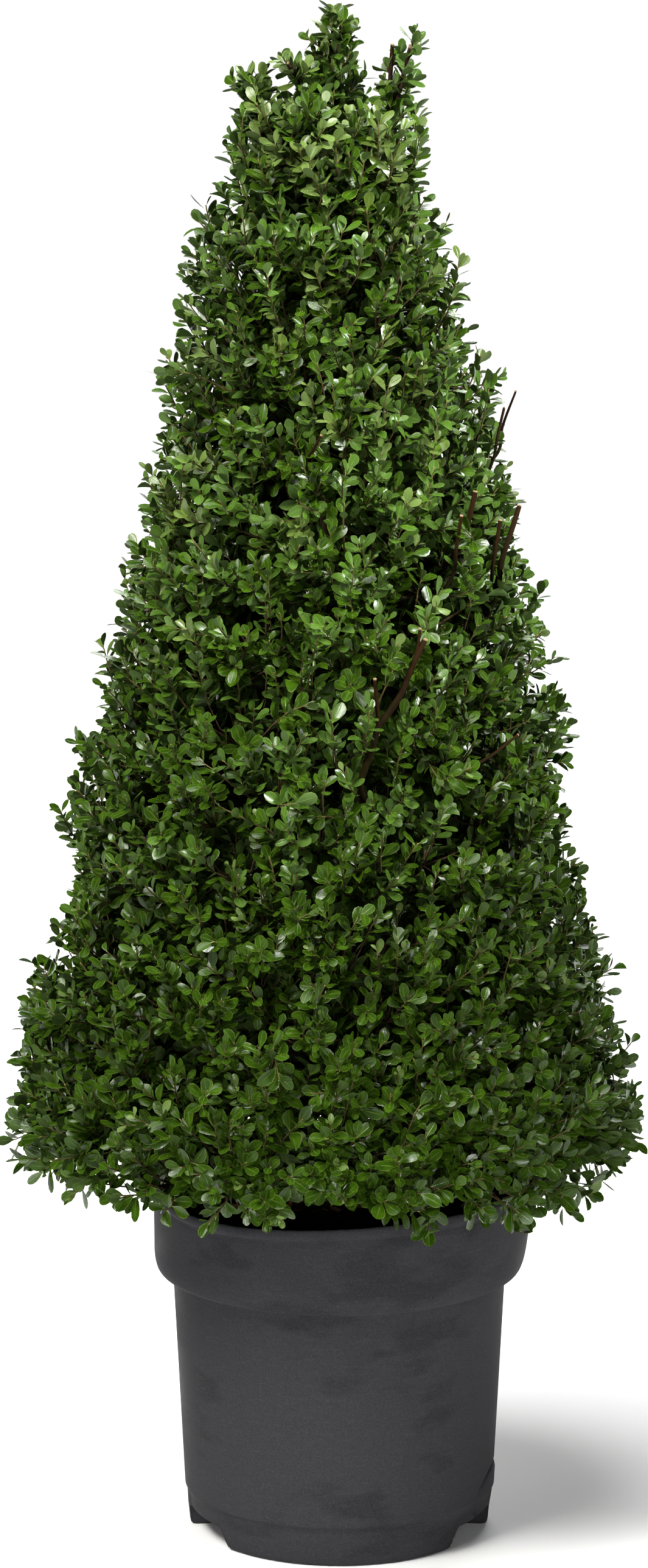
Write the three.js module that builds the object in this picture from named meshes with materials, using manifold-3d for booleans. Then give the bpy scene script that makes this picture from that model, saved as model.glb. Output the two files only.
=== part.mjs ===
// Small-leaved evergreen shrub clipped to a tall cone, growing in a round nursery pot.
// Lengths are millimetres and angles degrees. +Z is up, the front faces -Y, and the origin is
// the centre of the pot's flat underside.

import * as THREE from 'three';
import { mergeVertices } from 'three/addons/utils/BufferGeometryUtils.js';
import Module from 'manifold-3d';

const wasm = await Module();
wasm.setup();

// Pot: a tapered body, a wider collar above a ledge, and arched channels under the foot.
const POT_HEIGHT = 264.4;
const RIM_RADIUS = 140;
const COLLAR_FOOT = 197.4;
const COLLAR_FOOT_RADIUS = 133.6;
const COLLAR_BEND_RADIUS = 135.8;
const BODY_TOP_RADIUS = 121.5;
const BODY_FOOT_RADIUS = 112.5;
const COLLAR_BEND = 9;
const FOOT_BAND = 31;
const UNDERSIDE_RADIUS = 102;
const FOOT_ROUND_OUT = 6;
const FOOT_ROUND_UP = 5;
const EDGE_ROUND = 1.4;
const LIP_BAND = 7;
const LIP_OVERHANG = 1;
const POT_WALL = 2;
const POT_SIDES = 40;
const RIM_SHIFT = 4.5;
const RIM_RISE = 2.2;
const CHANNEL_HEIGHT = 16;
const CHANNEL_DEPTH = 42;
const CHANNEL_NEAR = 53;
const CHANNEL_FAR = 80;
const CHANNEL_SLANT = 2;
const CHANNEL_FACES = 3;

// Compost inside the pot.
const SOIL_LEVEL = 248;
const SOIL_FLAT_RADIUS = 32;
const SOIL_EDGE_DROP = 4;

// Clearance between neighbouring solids.
const CLEARANCE = 0.3;

// Crown: a cone about an axis a little left of the pot's.
const CROWN_AXIS_X = -10;
const CROWN_RADIUS = 227;
const CROWN_WIDEST = 330;
const CROWN_TOP = 1000;
const CROWN_TOP_RADIUS = 75;
const CROWN_BELLY = 1.12;
const SKIRT_TUCK = 0.15;
const TIP_SCATTER = 8;
const TIP_SCATTER_FROM = -0.2;
const TIP_SCATTER_TO = 0.7;

// Swellings and hollows of the clipped face: the angle and height of the middle of each, how far
// it spreads round and up, and how far it stands out or sinks.
const RIGHT = 0;
const LEFT = 180;
const SWELL_WIDTH = 42;
const SWELLS = [
  { angle: RIGHT, height: 430, spread: 20, out: -8 },
  { angle: RIGHT, height: 515, spread: 45, out: -21 },
  { angle: RIGHT, height: 590, spread: 26, out: -8 },
  { angle: RIGHT, height: 675, spread: 40, out: 4 },
  { angle: RIGHT, height: 855, spread: 50, out: 9 },
  { angle: RIGHT, height: 930, spread: 50, out: 5 },
  { angle: LEFT, height: 292, spread: 20, out: 7 },
  { angle: LEFT, height: 470, spread: 32, out: -10 },
  { angle: LEFT, height: 620, spread: 22, out: -8 },
  { angle: LEFT, height: 700, spread: 30, out: -8 },
  { angle: LEFT, height: 920, spread: 40, out: 13 },
];

// Foliage: a thin core in each mass, with leafy twigs and leaves standing out of it.
const CORE_DEPTH = 27;
const CORE_INNER = 0.84;
const CORE_GAP = 1.6;
const CORE_STEP_ANGLE = 18;
const CORE_ROWS = 4;
const TWIG_SPACING = 96;
const TWIG_RADIUS = 3.6;
const TWIG_TIP_RADIUS = 2.9;
const SUNK = 8;
const LEAF_LENGTH = 50;
const LEAF_WIDTH = 30;
const LEAF_THICKNESS = 2.4;
const LEAF_WIDEST = 0.58;
const LEAF_SHAPE = 0.75;
const LEAF_SPREAD = 52;
const END_LEAF_SPREAD = 8;
const SIDE_LEAVES = [{ turn: -72, share: 0.63 }, { turn: 64, share: 0.8 }];
const END_LEAF_SHARE = 0.9;
const END_LEAF_OVERLAP = 0.8;
const TWIG_TILT = 46;
const TWIG_TILT_RANGE = 10;
const TWIG_LEAN = 18;
const HANGING_TWIG_TILT = -30;
const LEAF_TILT = 30;
const LEAF_TILT_RANGE = 46;
const LEAF_LEAN = 8;
const LEAF_LEAN_RANGE = 48;
const HANGING_LEAF_TILT = -15;
const HANGING_LEAF_RANGE = 50;
const LEAF_FACING_UP = 0.8;
const ROW_INSET = 0.2;
const ROW_JITTER = 0.3;
const SIDE_MARGIN = 0.25;
const ROW_STAGGER = 0.12;
const RIM_CLEARANCE = 7;
const GOLDEN_ANGLE = 137.508;
const SECTOR_SEED = 101;
const SPRAY_SEED = 501;

// Lower sectors stand round the pot's rim and upper ones carry the cone to its clipped top. The
// boughs of a tier leave the trunk from one height on and meet their sectors at another.
const LOWER_TIER = {
  from: 284,
  to: 639.5,
  floor: 252,
  ceiling: 640,
  leafSpacing: 49,
  topTilt: 20,
  boughFoot: 288,
  boughTip: 440,
  boughRadius: 7,
};
const UPPER_TIER = {
  from: 641.5,
  to: 990,
  floor: 641,
  ceiling: 1012,
  leafSpacing: 44,
  topTilt: 60,
  boughFoot: 590,
  boughTip: 775,
  boughRadius: 5.5,
};
const LOWER_SECTORS = ['front', 'right', 'back_right', 'back_left', 'left'];
const UPPER_SECTORS = ['front', 'back_right', 'back_left'];
const FRONT = -90;

// Stem and boughs.
const TRUNK_TIP = 905;
const TRUNK_RADIUS = 12.5;
const TRUNK_TIP_RADIUS = 4.2;
const ROOT_FLARE = 9;
const FLARE_HEIGHT = 34;
const FLARE_FALL = 3;
const TRUNK_SWAY = 5;
const TRUNK_BENDS = [0.35, 0.7];
const TRUNK_SIDES = 8;
const TRUNK_RINGS = 14;
const BOUGH_TIP_RADIUS = 3.4;
const BOUGH_SIDES = 6;
const BOUGH_RINGS = 6;
const BOUGH_STAGGER = 13;
const BOUGH_BENDS = [{ out: 0.28, up: 0.34, axis: 0.5 }, { out: 0.66, up: 0.7, axis: 1 }];
const BOUGH_ROOM = 1;
const STEM_LENGTH = 34;
const STEM_OUTSIDE_CORE = 0.45;
const STEM_TAPER = 0.9;

// Leading shoots above the clipped top, each with the foot and the tip of its spray. They leave
// the trunk one above the other and climb through the open middle of the upper sectors.
const LEADER_FOOT = 735;
const LEADER_STEP = 34;
const LEADER_RADIUS = 3.8;
const LEADER_OVERLAP = 6;
const LEADER_CLIMB = [{ out: 23, height: 958 }, { out: 28, height: 995 }];
const LEADER_LEAVING = { out: 16, rise: 48 };
const LEADERS = [
  { name: 'left', foot: [-50, -8, 1018], tip: [-70, -10, 1082] },
  { name: 'front', foot: [-26, -38, 1016], tip: [-22, -48, 1066] },
  { name: 'middle', foot: [-6, 3, 1016], tip: [-4, 2, 1121] },
  { name: 'right', foot: [28, -6, 1018], tip: [56, -4, 1107] },
  { name: 'back', foot: [-4, 38, 1016], tip: [-8, 52, 1076] },
];
const SPRAY_FLOOR = 1013;
const SPRAY_LEAVES = 12;
const SPRAY_LEAF_LENGTH = 34;
const SPRAY_LEAF_WIDTH = 19;
const SPRAY_LEAF_RANGE = 14;
const SPRAY_LEAF_LEAST = 44;
const SPRAY_END_SPREAD = 4;
const SPRAY_FIRST = 0.06;
const SPRAY_LAST = 0.95;
const SPRAY_TIP_SHARE = 0.9;
const SPRAY_BEND = 0.4;
const SPRAY_REACH = 30;
const SPRAY_STEM_RADIUS = 2.8;
const SPRAY_STEM_TAPER = 0.8;
const SPRAY_STEM_SIDES = 5;
const SPRAY_STEM_RINGS = 4;

const FINISHES = {
  pot: { color: 0x393b3e, roughness: 0.62, metalness: 0 },
  soil: { color: 0x2a2019, roughness: 0.95, metalness: 0 },
  bark: { color: 0x5a4a3e, roughness: 0.85, metalness: 0 },
  leaves: { color: 0x2c4a28, roughness: 0.42, metalness: 0 },
};

const { degToRad, lerp } = THREE.MathUtils;

function seededRandom(seed) {
  let state = seed;
  return () => {
    state = (state * 1664525 + 1013904223) % 4294967296;
    return state / 4294967296;
  };
}

// Point at a distance from a vertical axis, at an angle from +X and a height.
function polar(radius, angle, height, axisX = 0) {
  const turn = degToRad(angle);
  return new THREE.Vector3(axisX + radius * Math.cos(turn), radius * Math.sin(turn), height);
}

// Closed solid from a geometry, welded and without its empty faces.
function solid(geometry) {
  geometry.deleteAttribute('normal');
  geometry.deleteAttribute('uv');
  const welded = mergeVertices(geometry, 1e-4);
  const corners = welded.index.array;
  const faces = [];
  for (let i = 0; i < corners.length; i += 3) {
    const [a, b, c] = [corners[i], corners[i + 1], corners[i + 2]];
    if (a !== b && b !== c && c !== a) {
      faces.push(a, b, c);
    }
  }
  return new wasm.Manifold(new wasm.Mesh({
    numProp: 3,
    vertProperties: new Float32Array(welded.attributes.position.array),
    triVerts: new Uint32Array(faces),
  }));
}

// The largest body of a solid, with loose scraps dropped and sealed hollows filled.
function largestBody(body) {
  const bodies = body.decompose();
  return bodies.reduce((best, next) => (next.volume() > best.volume() ? next : best));
}

// Moves every vertex of a geometry to where a function sends it.
function reshape(geometry, place) {
  const positions = geometry.attributes.position;
  const vertex = new THREE.Vector3();
  for (let i = 0; i < positions.count; i += 1) {
    vertex.fromBufferAttribute(positions, i);
    positions.setXYZ(i, ...place(vertex.clone()).toArray());
  }
  return geometry;
}

// The soft collar leans a little to the right and its lip rises there.
function settleCollar(point) {
  const share = Math.max(0, (point.z - COLLAR_FOOT) / (POT_HEIGHT - COLLAR_FOOT));
  const side = point.x / RIM_RADIUS;
  return point.add(new THREE.Vector3(RIM_SHIFT * share, 0, RIM_RISE * share * side));
}

// Solid of revolution about Z from radius and height pairs that start and end on the axis.
function turned(profile) {
  const points = profile.map(([radius, height]) => new THREE.Vector2(radius, height));
  const lathe = new THREE.LatheGeometry(points, POT_SIDES);
  lathe.rotateX(Math.PI / 2);
  return solid(reshape(lathe, settleCollar));
}

// Round tapering limb along a curve, from a cylinder bent to follow it.
function limb(curve, radiusAt, sides, rings) {
  const tube = new THREE.CylinderGeometry(1, 1, 1, sides, rings);
  const chord = curve.getPointAt(1).sub(curve.getPointAt(0)).normalize();
  const guide = Math.abs(chord.x) < 0.7 ? new THREE.Vector3(1, 0, 0) : new THREE.Vector3(0, 1, 0);
  return solid(reshape(tube, (vertex) => {
    const t = vertex.y + 0.5;
    const along = curve.getTangentAt(t);
    const across = guide.clone().addScaledVector(along, -guide.dot(along)).normalize();
    const third = across.clone().cross(along);
    const radius = radiusAt(t);
    return curve.getPointAt(t)
      .addScaledVector(across, vertex.x * radius)
      .addScaledVector(third, vertex.z * radius);
  }));
}

function straightLimb(start, end, startRadius, endRadius, sides) {
  const line = new THREE.LineCurve3(start, end);
  return limb(line, (t) => lerp(startRadius, endRadius, t), sides, 1);
}

// Leaf of eight faces, broadest past its middle, from its root along a direction.
// The upper side faces as near to the given way as the direction allows.
function leaf(root, direction, upward, length, width) {
  const across = direction.clone().cross(upward).normalize();
  const normal = across.clone().cross(direction);
  const blade = new THREE.OctahedronGeometry(1, 0);
  return solid(reshape(blade, ({ x, y, z }) => {
    const along = length * (LEAF_WIDEST + y / 2 + (0.5 - LEAF_WIDEST) * y * y);
    return root.clone()
      .addScaledVector(direction, along)
      .addScaledVector(across, x * width / 2)
      .addScaledVector(normal, z * LEAF_THICKNESS / 2);
  }));
}

// Radius of the smooth cone at a height.
function crownRadius(height) {
  if (height < CROWN_WIDEST) {
    return CROWN_RADIUS - SKIRT_TUCK * (CROWN_WIDEST - height);
  }
  const share = (height - CROWN_WIDEST) / (CROWN_TOP - CROWN_WIDEST);
  return CROWN_RADIUS - (CROWN_RADIUS - CROWN_TOP_RADIUS) * share ** CROWN_BELLY;
}

// How fast the crown narrows with height, less than nothing where the skirt tucks in.
function crownSlope(height) {
  const narrowing = (CROWN_RADIUS - CROWN_TOP_RADIUS) / (CROWN_TOP - CROWN_WIDEST);
  return height < CROWN_WIDEST ? -SKIRT_TUCK : narrowing;
}

// How far the clipped face stands out from the smooth cone at an angle and height.
function swell(angle, height) {
  return SWELLS.reduce((total, { angle: middle, height: level, spread, out }) => {
    const apart = THREE.MathUtils.euclideanModulo(angle - middle + 180, 360) - 180;
    return total + out * Math.exp(-(((height - level) / spread) ** 2) - (apart / SWELL_WIDTH) ** 2);
  }, 0);
}

function coreOuter(height) {
  return crownRadius(height) - CORE_DEPTH;
}

function coreInner(height) {
  return coreOuter(height) * CORE_INNER;
}

// Block of the core between two angles and two heights of the cone.
function sectorCore(startAngle, endAngle, tier) {
  const steps = Math.round((endAngle - startAngle) / CORE_STEP_ANGLE);
  const block = new THREE.BoxGeometry(1, 1, 1, steps, CORE_ROWS, 1);
  return solid(reshape(block, ({ x, y, z }) => {
    const height = lerp(tier.from, tier.to, y + 0.5);
    const radius = lerp(coreInner(height), coreOuter(height), z + 0.5);
    const inset = THREE.MathUtils.radToDeg(CORE_GAP / 2 / radius);
    const angle = lerp(startAngle + inset, endAngle - inset, x + 0.5);
    return polar(radius, angle, height, CROWN_AXIS_X);
  }));
}

function eachVertex(body, test) {
  const values = body.getMesh().vertProperties;
  for (let i = 0; i < values.length; i += 3) {
    if (!test(new THREE.Vector3(values[i], values[i + 1], values[i + 2]))) {
      return false;
    }
  }
  return true;
}

function clearOfPot(point) {
  const outside = Math.hypot(point.x, point.y) > RIM_RADIUS + RIM_SHIFT + RIM_CLEARANCE;
  return outside || point.z > POT_HEIGHT + RIM_RISE + RIM_CLEARANCE;
}

// Whether a point is in the space of one sector: between its sides, its floor and its ceiling.
function inSector(point, startAngle, endAngle, tier) {
  const flat = new THREE.Vector2(point.x - CROWN_AXIS_X, point.y);
  const radius = flat.length();
  const start = degToRad(startAngle);
  const end = degToRad(endAngle);
  const fromStart = flat.y * Math.cos(start) - flat.x * Math.sin(start);
  const fromEnd = flat.x * Math.sin(end) - flat.y * Math.cos(end);
  const level = point.z > tier.floor && point.z < tier.ceiling;
  const beside = fromStart > CORE_GAP / 2 && fromEnd > CORE_GAP / 2;
  const angle = THREE.MathUtils.radToDeg(flat.angle());
  const limit = crownRadius(point.z) + Math.max(0, swell(angle, point.z)) + TIP_SCATTER;
  return level && beside && radius < limit && clearOfPot(point);
}

// Twig with a leaf on each side and one at its end that carries on along it.
function leafyTwig(root, end, outward) {
  const along = end.clone().sub(root).normalize();
  const outer = outward.clone().addScaledVector(along, -outward.dot(along)).normalize();
  const pieces = [straightLimb(root, end, TWIG_RADIUS, TWIG_TIP_RADIUS, 3)];
  const addLeaf = (share, turn, angle, upward) => {
    const spread = degToRad(angle);
    const side = outer.clone().applyAxisAngle(along, degToRad(turn));
    const direction = along.clone().multiplyScalar(Math.cos(spread)).addScaledVector(side, Math.sin(spread));
    const start = root.clone().lerp(end, share).addScaledVector(direction, -TWIG_TIP_RADIUS);
    pieces.push(leaf(start, direction, upward, LEAF_LENGTH, LEAF_WIDTH));
  };
  SIDE_LEAVES.forEach(({ turn, share }) => addLeaf(share, turn, LEAF_SPREAD, along));
  addLeaf(END_LEAF_SHARE, 0, END_LEAF_SPREAD, outer);
  return pieces;
}

// Staggered rows of places over a sector of the core, about one spacing apart. Near a side of the
// sector they swing back to its middle.
function coreLattice(startAngle, endAngle, tier, spacing, random) {
  const rows = Math.round((tier.to - tier.from) / spacing);
  const places = [];
  for (let row = 0; row < rows; row += 1) {
    const height = lerp(tier.from, tier.to, (row + ROW_INSET + ROW_JITTER * random()) / (rows - ROW_JITTER));
    const arc = degToRad(endAngle - startAngle) * crownRadius(height);
    const columns = Math.max(2, Math.round(arc / spacing));
    const stagger = row % 2 ? ROW_STAGGER : -ROW_STAGGER;
    for (let column = 0; column < columns; column += 1) {
      const share = (column + 0.5 + stagger + ROW_JITTER * (random() - 0.5)) / columns;
      const angle = lerp(startAngle, endAngle, share);
      const swing = random() < lerp(-SIDE_MARGIN, 1 + SIDE_MARGIN, share) ? -1 : 1;
      places.push({ height, angle, swing, lowest: row === 0, share: row / (rows - 1) });
    }
  }
  return places;
}

// One mass of foliage between two angles: core, stem from its bough, twigs and leaves.
function sectorMass(startAngle, endAngle, tier, stem, keepOff, seed) {
  const random = seededRandom(seed);
  const pieces = [sectorCore(startAngle, endAngle, tier), stem];
  const fits = (piece) => eachVertex(piece, (point) => inSector(point, startAngle, endAngle, tier))
    && keepOff.intersect(piece).isEmpty();
  const shoot = ({ height, angle }, tilt, lean) => {
    const root = polar(coreOuter(height) - SUNK, angle, height, CROWN_AXIS_X);
    const direction = polar(Math.cos(degToRad(tilt)), angle + lean, Math.sin(degToRad(tilt)));
    const scatter = TIP_SCATTER * lerp(TIP_SCATTER_FROM, TIP_SCATTER_TO, random());
    const depth = CORE_DEPTH + SUNK + swell(angle, height) + scatter;
    const outward = direction.dot(polar(1, angle, 0)) + crownSlope(height) * direction.z;
    return { root, direction, reach: depth / outward };
  };
  for (const place of coreLattice(startAngle, endAngle, tier, TWIG_SPACING, random)) {
    const tilt = place.lowest ? HANGING_TWIG_TILT : TWIG_TILT + TWIG_TILT_RANGE * random();
    const { root, direction, reach } = shoot(place, tilt, TWIG_LEAN * place.swing * random());
    const twigLength = Math.max(SUNK * 2, reach - LEAF_LENGTH * END_LEAF_OVERLAP);
    const end = root.clone().addScaledVector(direction, twigLength);
    pieces.push(...leafyTwig(root, end, polar(1, place.angle, 0)).filter(fits));
  }
  for (const place of coreLattice(startAngle, endAngle, tier, tier.leafSpacing, random)) {
    const steepest = lerp(LEAF_TILT, tier.topTilt, place.share ** 4);
    const tilt = place.lowest
      ? HANGING_LEAF_TILT - HANGING_LEAF_RANGE * random()
      : steepest - LEAF_TILT_RANGE * random();
    const girth = crownRadius(place.height) / CROWN_RADIUS;
    const lean = place.swing * girth * (LEAF_LEAN + LEAF_LEAN_RANGE * random());
    const { root, direction, reach } = shoot(place, tilt, lean);
    const length = Math.min(reach, LEAF_LENGTH + SUNK);
    const width = Math.min(LEAF_WIDTH, length * LEAF_SHAPE);
    const blade = leaf(root, direction, polar(1, place.angle, LEAF_FACING_UP), length, width);
    if (fits(blade)) {
      pieces.push(blade);
    }
  }
  return largestBody(wasm.Manifold.union(pieces));
}

// Whether a point lies nearer to one leader's spray line than to any other.
function inSpray(point, index) {
  const distances = LEADERS.map(({ foot, tip }) => {
    const line = new THREE.Line3(new THREE.Vector3(...foot), new THREE.Vector3(...tip));
    return line.closestPointToPoint(point, true, new THREE.Vector3()).distanceTo(point);
  });
  const others = distances.filter((_, i) => i !== index);
  const near = distances[index] < SPRAY_REACH && distances[index] + CORE_GAP < Math.min(...others);
  return near && point.z > SPRAY_FLOOR;
}

// Open spray on one leader: a stem with leaves in a spiral and a last leaf at its tip.
function leaderSpray(index, start, along, keepOff, seed) {
  const random = seededRandom(seed);
  const tip = new THREE.Vector3(...LEADERS[index].tip);
  const lastLeaf = SPRAY_LEAF_LENGTH * SPRAY_TIP_SHARE;
  const bend = start.clone().addScaledVector(along, (tip.distanceTo(start) - lastLeaf) * SPRAY_BEND);
  const top = tip.clone().add(new THREE.Vector3(0, 0, -lastLeaf));
  const curve = new THREE.QuadraticBezierCurve3(start, bend, top);
  const taper = (t) => SPRAY_STEM_RADIUS * lerp(1, SPRAY_STEM_TAPER, t);
  const stem = limb(curve, taper, SPRAY_STEM_SIDES, SPRAY_STEM_RINGS);
  const fits = (piece) => eachVertex(piece, (point) => inSpray(point, index) && point.z < tip.z + 1)
    && keepOff.intersect(piece).isEmpty();
  const pieces = [stem];
  const turn = 360 * random();
  for (let i = 0; i < SPRAY_LEAVES; i += 1) {
    const share = lerp(SPRAY_FIRST, SPRAY_LAST, i / (SPRAY_LEAVES - 1));
    const axis = curve.getTangentAt(share);
    const last = i === SPRAY_LEAVES - 1;
    const spread = degToRad(last ? SPRAY_END_SPREAD : SPRAY_LEAF_LEAST + SPRAY_LEAF_RANGE * random());
    const side = new THREE.Vector3(1, 0, 0).addScaledVector(axis, -axis.x).normalize();
    side.applyAxisAngle(axis, degToRad(turn + i * GOLDEN_ANGLE));
    const direction = axis.clone().multiplyScalar(Math.cos(spread)).addScaledVector(side, Math.sin(spread));
    const root = curve.getPointAt(share).addScaledVector(direction, -taper(share) / 2);
    const blade = leaf(root, direction.normalize(), last ? side : axis, SPRAY_LEAF_LENGTH, SPRAY_LEAF_WIDTH);
    if (fits(blade)) {
      pieces.push(blade);
    }
  }
  return largestBody(wasm.Manifold.union(pieces));
}

// Pot, hollow above its floor, with four channels under the foot.
function channels(margin) {
  const cuts = [];
  for (const facing of [FRONT, FRONT + 180]) {
    for (const hand of [-1, 1]) {
      const block = new THREE.BoxGeometry(1, 1, 1, CHANNEL_FACES, 1, 1);
      cuts.push(solid(reshape(block, ({ x, y, z }) => {
        const radius = z > 0 ? BODY_TOP_RADIUS : UNDERSIDE_RADIUS - CHANNEL_DEPTH - margin;
        const widen = THREE.MathUtils.radToDeg(margin / radius);
        const slant = y > 0 ? CHANNEL_SLANT : 0;
        const near = CHANNEL_NEAR + slant - widen;
        const far = CHANNEL_FAR - slant + widen;
        const offset = lerp(near, far, hand * x + 0.5);
        return polar(radius, facing + hand * offset, y > 0 ? CHANNEL_HEIGHT + margin : -CHANNEL_HEIGHT);
      })));
    }
  }
  return wasm.Manifold.union(cuts);
}

const potOutside = [
  [0, 0],
  [UNDERSIDE_RADIUS, 0],
  [UNDERSIDE_RADIUS + FOOT_ROUND_OUT - POT_WALL, EDGE_ROUND],
  [UNDERSIDE_RADIUS + FOOT_ROUND_OUT, FOOT_ROUND_UP],
  [BODY_FOOT_RADIUS, FOOT_BAND],
  [BODY_TOP_RADIUS, COLLAR_FOOT],
  [COLLAR_FOOT_RADIUS - EDGE_ROUND, COLLAR_FOOT],
  [COLLAR_FOOT_RADIUS, COLLAR_FOOT + EDGE_ROUND],
  [COLLAR_BEND_RADIUS, COLLAR_FOOT + COLLAR_BEND],
  [RIM_RADIUS - LIP_OVERHANG, POT_HEIGHT - LIP_BAND],
  [RIM_RADIUS, POT_HEIGHT - LIP_BAND + POT_WALL],
  [RIM_RADIUS, POT_HEIGHT - EDGE_ROUND],
  [RIM_RADIUS - EDGE_ROUND, POT_HEIGHT],
  [0, POT_HEIGHT],
];

// Inside face of the pot, moved further in by a margin.
function potInside(margin) {
  const inset = POT_WALL + margin;
  return [
    [0, inset],
    [UNDERSIDE_RADIUS + POT_WALL - margin, inset],
    [BODY_FOOT_RADIUS - inset, FOOT_BAND],
    [BODY_TOP_RADIUS - inset, COLLAR_FOOT + inset],
    [COLLAR_FOOT_RADIUS - inset, COLLAR_FOOT + inset + 1],
    [COLLAR_BEND_RADIUS - inset, COLLAR_FOOT + COLLAR_BEND],
    [RIM_RADIUS - LIP_OVERHANG - inset, POT_HEIGHT - LIP_BAND],
  ];
}

const aboveLip = POT_HEIGHT + LIP_BAND;
const mouth = [[RIM_RADIUS - LIP_OVERHANG - POT_WALL, aboveLip], [0, aboveLip]];
const hollow = turned([...potInside(0), ...mouth]);
const pot = turned(potOutside).subtract(channels(0)).subtract(hollow.subtract(channels(POT_WALL)));

// Compost, level round the stem and a little lower at the wall.
const soilSides = potInside(CLEARANCE);
const [rimRadius, rimHeight] = soilSides.pop();
const [bendRadius, bendHeight] = soilSides[soilSides.length - 1];
const soilEdge = SOIL_LEVEL - SOIL_EDGE_DROP;
const soil = turned([
  ...soilSides,
  [lerp(bendRadius, rimRadius, (soilEdge - bendHeight) / (rimHeight - bendHeight)), soilEdge],
  [SOIL_FLAT_RADIUS, SOIL_LEVEL],
  [0, SOIL_LEVEL],
]).subtract(channels(POT_WALL + CLEARANCE));

// Stem from a flat cut on the compost, flared at its foot, swaying a little up the crown.
const trunkFoot = SOIL_LEVEL + 2 * CLEARANCE;
const trunkCurve = new THREE.CatmullRomCurve3([
  new THREE.Vector3(0, 0, trunkFoot),
  new THREE.Vector3(0, 0, trunkFoot + FLARE_HEIGHT),
  new THREE.Vector3(-TRUNK_SWAY, -TRUNK_SWAY, lerp(trunkFoot, TRUNK_TIP, TRUNK_BENDS[0])),
  new THREE.Vector3(CROWN_AXIS_X + TRUNK_SWAY, TRUNK_SWAY, lerp(trunkFoot, TRUNK_TIP, TRUNK_BENDS[1])),
  new THREE.Vector3(CROWN_AXIS_X, 0, TRUNK_TIP),
]);
const trunkLength = TRUNK_TIP - trunkFoot;

function trunkRadius(t) {
  const flare = ROOT_FLARE * Math.exp(-FLARE_FALL * t * trunkLength / FLARE_HEIGHT);
  return lerp(TRUNK_RADIUS, TRUNK_TIP_RADIUS, t) + flare;
}

const trunk = limb(trunkCurve, trunkRadius, TRUNK_SIDES, TRUNK_RINGS);
const trunkWithRoom = limb(trunkCurve, (t) => trunkRadius(t) + CLEARANCE, TRUNK_SIDES, TRUNK_RINGS);

function trunkPoint(height) {
  return trunkCurve.getPointAt((height - trunkFoot) / trunkLength);
}

// Bough along a curve that starts inside the trunk, cut back to sit just clear of it.
function bough(points, baseRadius, tipRadius) {
  const curve = new THREE.CatmullRomCurve3(points);
  const taper = (room) => (t) => lerp(baseRadius, tipRadius, t) + room;
  const cut = (body) => largestBody(body.subtract(trunkWithRoom));
  return {
    end: curve.getPointAt(1),
    along: curve.getTangentAt(1),
    body: cut(limb(curve, taper(0), BOUGH_SIDES, BOUGH_RINGS)),
    room: limb(curve, taper(BOUGH_ROOM), BOUGH_SIDES, BOUGH_RINGS),
  };
}

// Sectors of one tier, each with its angles and the bough that climbs to it.
function tierSectors(names, prefix, tier) {
  const width = 360 / names.length;
  const tipRadius = coreInner(tier.boughTip) - STEM_LENGTH * STEM_OUTSIDE_CORE;
  return names.map((name, i) => {
    const angle = FRONT + i * width;
    const leaving = tier.boughFoot + BOUGH_STAGGER * ((i * 2) % names.length);
    const limbPoints = [
      trunkPoint(leaving),
      ...BOUGH_BENDS.map(({ out, up, axis }) => (
        polar(tipRadius * out, angle, lerp(leaving, tier.boughTip, up), CROWN_AXIS_X * axis)
      )),
      polar(tipRadius, angle, tier.boughTip, CROWN_AXIS_X),
    ];
    return {
      name: `${prefix}_${name}`,
      tier,
      startAngle: angle - width / 2,
      endAngle: angle + width / 2,
      limb: bough(limbPoints, tier.boughRadius, BOUGH_TIP_RADIUS),
    };
  });
}

const sectors = [
  ...tierSectors(LOWER_SECTORS, 'lower', LOWER_TIER),
  ...tierSectors(UPPER_SECTORS, 'upper', UPPER_TIER),
];

// Leaders climb inside the upper cores and flare out above them. The middle one carries on
// from the trunk's tip.
const leaders = LEADERS.map(({ name, foot }, i) => {
  const [x, y, z] = foot;
  const angle = THREE.MathUtils.radToDeg(Math.atan2(y, x - CROWN_AXIS_X));
  const leaving = LEADER_FOOT + LEADER_STEP * i;
  const points = name === 'middle'
    ? [new THREE.Vector3(CROWN_AXIS_X, 0, TRUNK_TIP - LEADER_OVERLAP)]
    : [
      trunkPoint(leaving),
      polar(LEADER_LEAVING.out, angle, leaving + LEADER_LEAVING.rise, CROWN_AXIS_X),
      ...LEADER_CLIMB.map(({ out, height }) => polar(out, angle, height, CROWN_AXIS_X)),
    ];
  points.push(new THREE.Vector3(x, y, z));
  return { name: `leader_${name}`, limb: bough(points, LEADER_RADIUS, SPRAY_STEM_RADIUS) };
});

const limbRoom = wasm.Manifold.union([
  trunkWithRoom,
  ...sectors.map((sector) => sector.limb.room),
  ...leaders.map((leader) => leader.limb.room),
]);

// Stem of a mass, in line with its bough's tip and just clear of it.
function stemFrom({ end, along }) {
  const start = end.clone().addScaledVector(along, CLEARANCE);
  const finish = start.clone().addScaledVector(along, STEM_LENGTH);
  return straightLimb(start, finish, BOUGH_TIP_RADIUS, BOUGH_TIP_RADIUS * STEM_TAPER, BOUGH_SIDES);
}

const plant = new THREE.Group();
plant.name = 'potted_cone';

function addNode(name, body, finish) {
  const { vertProperties, triVerts } = body.getMesh();
  const geometry = new THREE.BufferGeometry();
  geometry.setAttribute('position', new THREE.BufferAttribute(new Float32Array(vertProperties), 3));
  geometry.setIndex(new THREE.BufferAttribute(new Uint32Array(triVerts), 1));
  geometry.computeVertexNormals();
  const mesh = new THREE.Mesh(geometry, new THREE.MeshStandardMaterial(finish));
  mesh.name = name;
  plant.add(mesh);
}

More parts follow.
